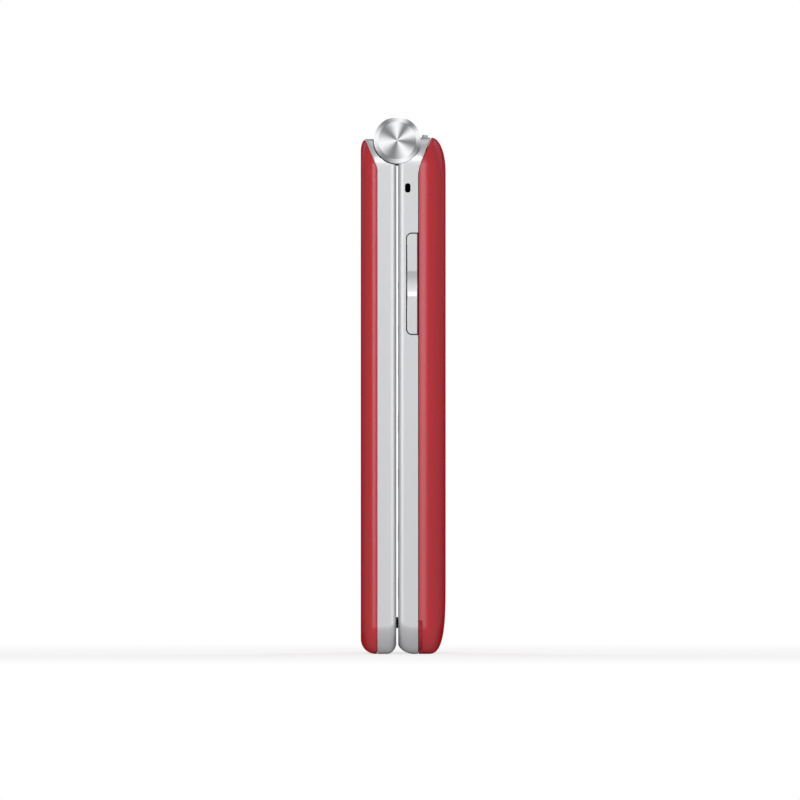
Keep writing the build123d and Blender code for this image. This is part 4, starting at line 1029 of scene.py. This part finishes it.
# %% Materials for the pieces inside
inside = {
    "battery": battery_wrap, "base_rear_housing": black_plastic, "main_circuit_board": circuit_board,
    "lid_circuit_board": circuit_board, "key_domes": steel, "battery_contacts": brass,
    "usb_port": steel, "headset_jack": black_plastic, "loudspeaker": black_plastic,
    "vibration_motor": steel, "antenna": brass, "sim_holder": steel, "microphone": steel,
    "rf_shield": steel, "volume_switches": black_plastic, "base_screws": steel, "torch_led": torch_plastic,
    "outer_display": screen_glass, "main_display": screen_glass, "earpiece_speaker": black_plastic,
    "earpiece_grille": steel, "lid_magnet": steel, "lid_screws": steel, "hinge_cartridge": steel,
    "hinge_shaft": steel, "hinge_spring": steel, "hinge_bush": steel, "hinge_flex": flex_ribbon,
}
for node, finish in inside.items():
    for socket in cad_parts[node].material_slots:
        socket.material = finish
print(len(inside), "nodes inside have their finish")

# %% [markdown]
# ## Studio
# A pale floor and backdrop, soft lamps all round, and a very long lens from the side, level with the
# middle of the phone.

# %% Floor, world and lamps
fade_start, fade_end = 0.07, 0.3


def stage_floor():
    """A pale floor that keeps the phone's shadow, and fades into the backdrop further out."""
    bpy.ops.mesh.primitive_circle_add(vertices=64, radius=3.0, fill_type="NGON", location=(0, 0, 0))
    floor = bpy.context.object
    floor.name = "studio_floor"
    paint = Finish("studio floor", Roughness=0.9, Specular_IOR_Level=0.0)
    paint.set("Base Color", (0.93, 0.93, 0.93, 1))
    glow = paint.node("ShaderNodeEmission", None, {"Color": (1, 1, 1, 1), "Strength": 1.0})
    flat = paint.node("ShaderNodeVectorMath", {"operation": "LENGTH"}, {0: paint.place})
    far = paint.smooth(paint.wire(flat, "Value"), fade_start, fade_end) * 0.3 + 0.7
    path = paint.node("ShaderNodeLightPath")
    mirrored = paint.math(
        "MAXIMUM", paint.wire(path, "Is Glossy Ray"), paint.wire(path, "Is Transmission Ray"))
    shown = paint.math("MAXIMUM", mirrored, far * paint.wire(path, "Is Camera Ray"))
    blend = paint.node("ShaderNodeMixShader", None, {
        0: shown, 1: paint.wire(paint.shader), 2: paint.wire(glow)})
    paint.feed(paint.nodes["Material Output"].inputs["Surface"], paint.wire(blend))
    floor.data.materials.append(paint.material)


def studio_world(level):
    """White to the camera and in reflections, and a soft level of light on the phone."""
    world = bpy.data.worlds.new("studio")
    bpy.context.scene.world = world
    world.use_nodes = True
    nodes, links = world.node_tree.nodes, world.node_tree.links
    path = nodes.new("ShaderNodeLightPath")
    strength = None
    for ray in ("Is Camera Ray", "Is Glossy Ray", "Is Transmission Ray"):
        larger = nodes.new("ShaderNodeMath")
        larger.operation = "MAXIMUM"
        larger.inputs[1].default_value = level
        links.new(path.outputs[ray], larger.inputs[0])
        if strength is not None:
            links.new(strength, larger.inputs[1])
        strength = larger.outputs[0]
    links.new(strength, nodes["Background"].inputs["Strength"])
    nodes["Background"].inputs["Color"].default_value = (1, 1, 1, 1)


def soft_lamp(name, azimuth, elevation, distance, width, height, power):
    """A soft box at a bearing round the phone (90 is the camera's side), aimed at its middle."""
    turn, rise = math.radians(azimuth), math.radians(elevation)
    middle = Vector((0, 0, hinge_z / 2 * MM))
    away = Vector((math.sin(turn) * math.cos(rise), -math.cos(turn) * math.cos(rise), math.sin(rise)))
    bpy.ops.object.light_add(type="AREA", location=middle + away * distance)
    lamp = bpy.context.object
    lamp.name = name
    lamp.rotation_euler = away.to_track_quat("Z", "Y").to_euler()
    lamp.data.shape = "RECTANGLE"
    lamp.data.size, lamp.data.size_y = width, height
    lamp.data.energy = power


ambient = 0.04
# name, bearing and rise in degrees, distance, width and height in metres, power in watts
soft_boxes = (
    ("left", 66, 4, 1.2, 0.69, 0.5, 4.8), ("right", 114, 4, 1.2, 0.69, 0.5, 4.8),
    ("high", 90, 33, 1.2, 0.5, 0.15, 4.5), ("top", 270, 60, 0.9, 0.6, 0.6, 2.0),
    ("front", 301, 20, 0.9, 0.5, 0.6, 4.2), ("back", 239, 20, 0.9, 0.5, 0.6, 4.2),
)
stage_floor()
studio_world(ambient)
for name, *setting in soft_boxes:
    soft_lamp("soft_box_" + name, *setting)

# %% [markdown]
# The camera stands far away with a lens so long that the phone is drawn almost without perspective.

# %% Camera
view_y, view_z, view_height, view_distance = -0.65, 51.54, 162.96, 6000.0
bpy.ops.object.camera_add(location=Vector((view_distance, view_y, view_z)) * MM,
                          rotation=(math.radians(90), 0, math.radians(90)))
camera = bpy.context.object
camera.data.sensor_width = 36.0
camera.data.lens = camera.data.sensor_width * view_distance / view_height
camera.data.clip_end = 20.0
bpy.context.scene.camera = camera
bpy.context.scene.view_settings.view_transform = "Standard"
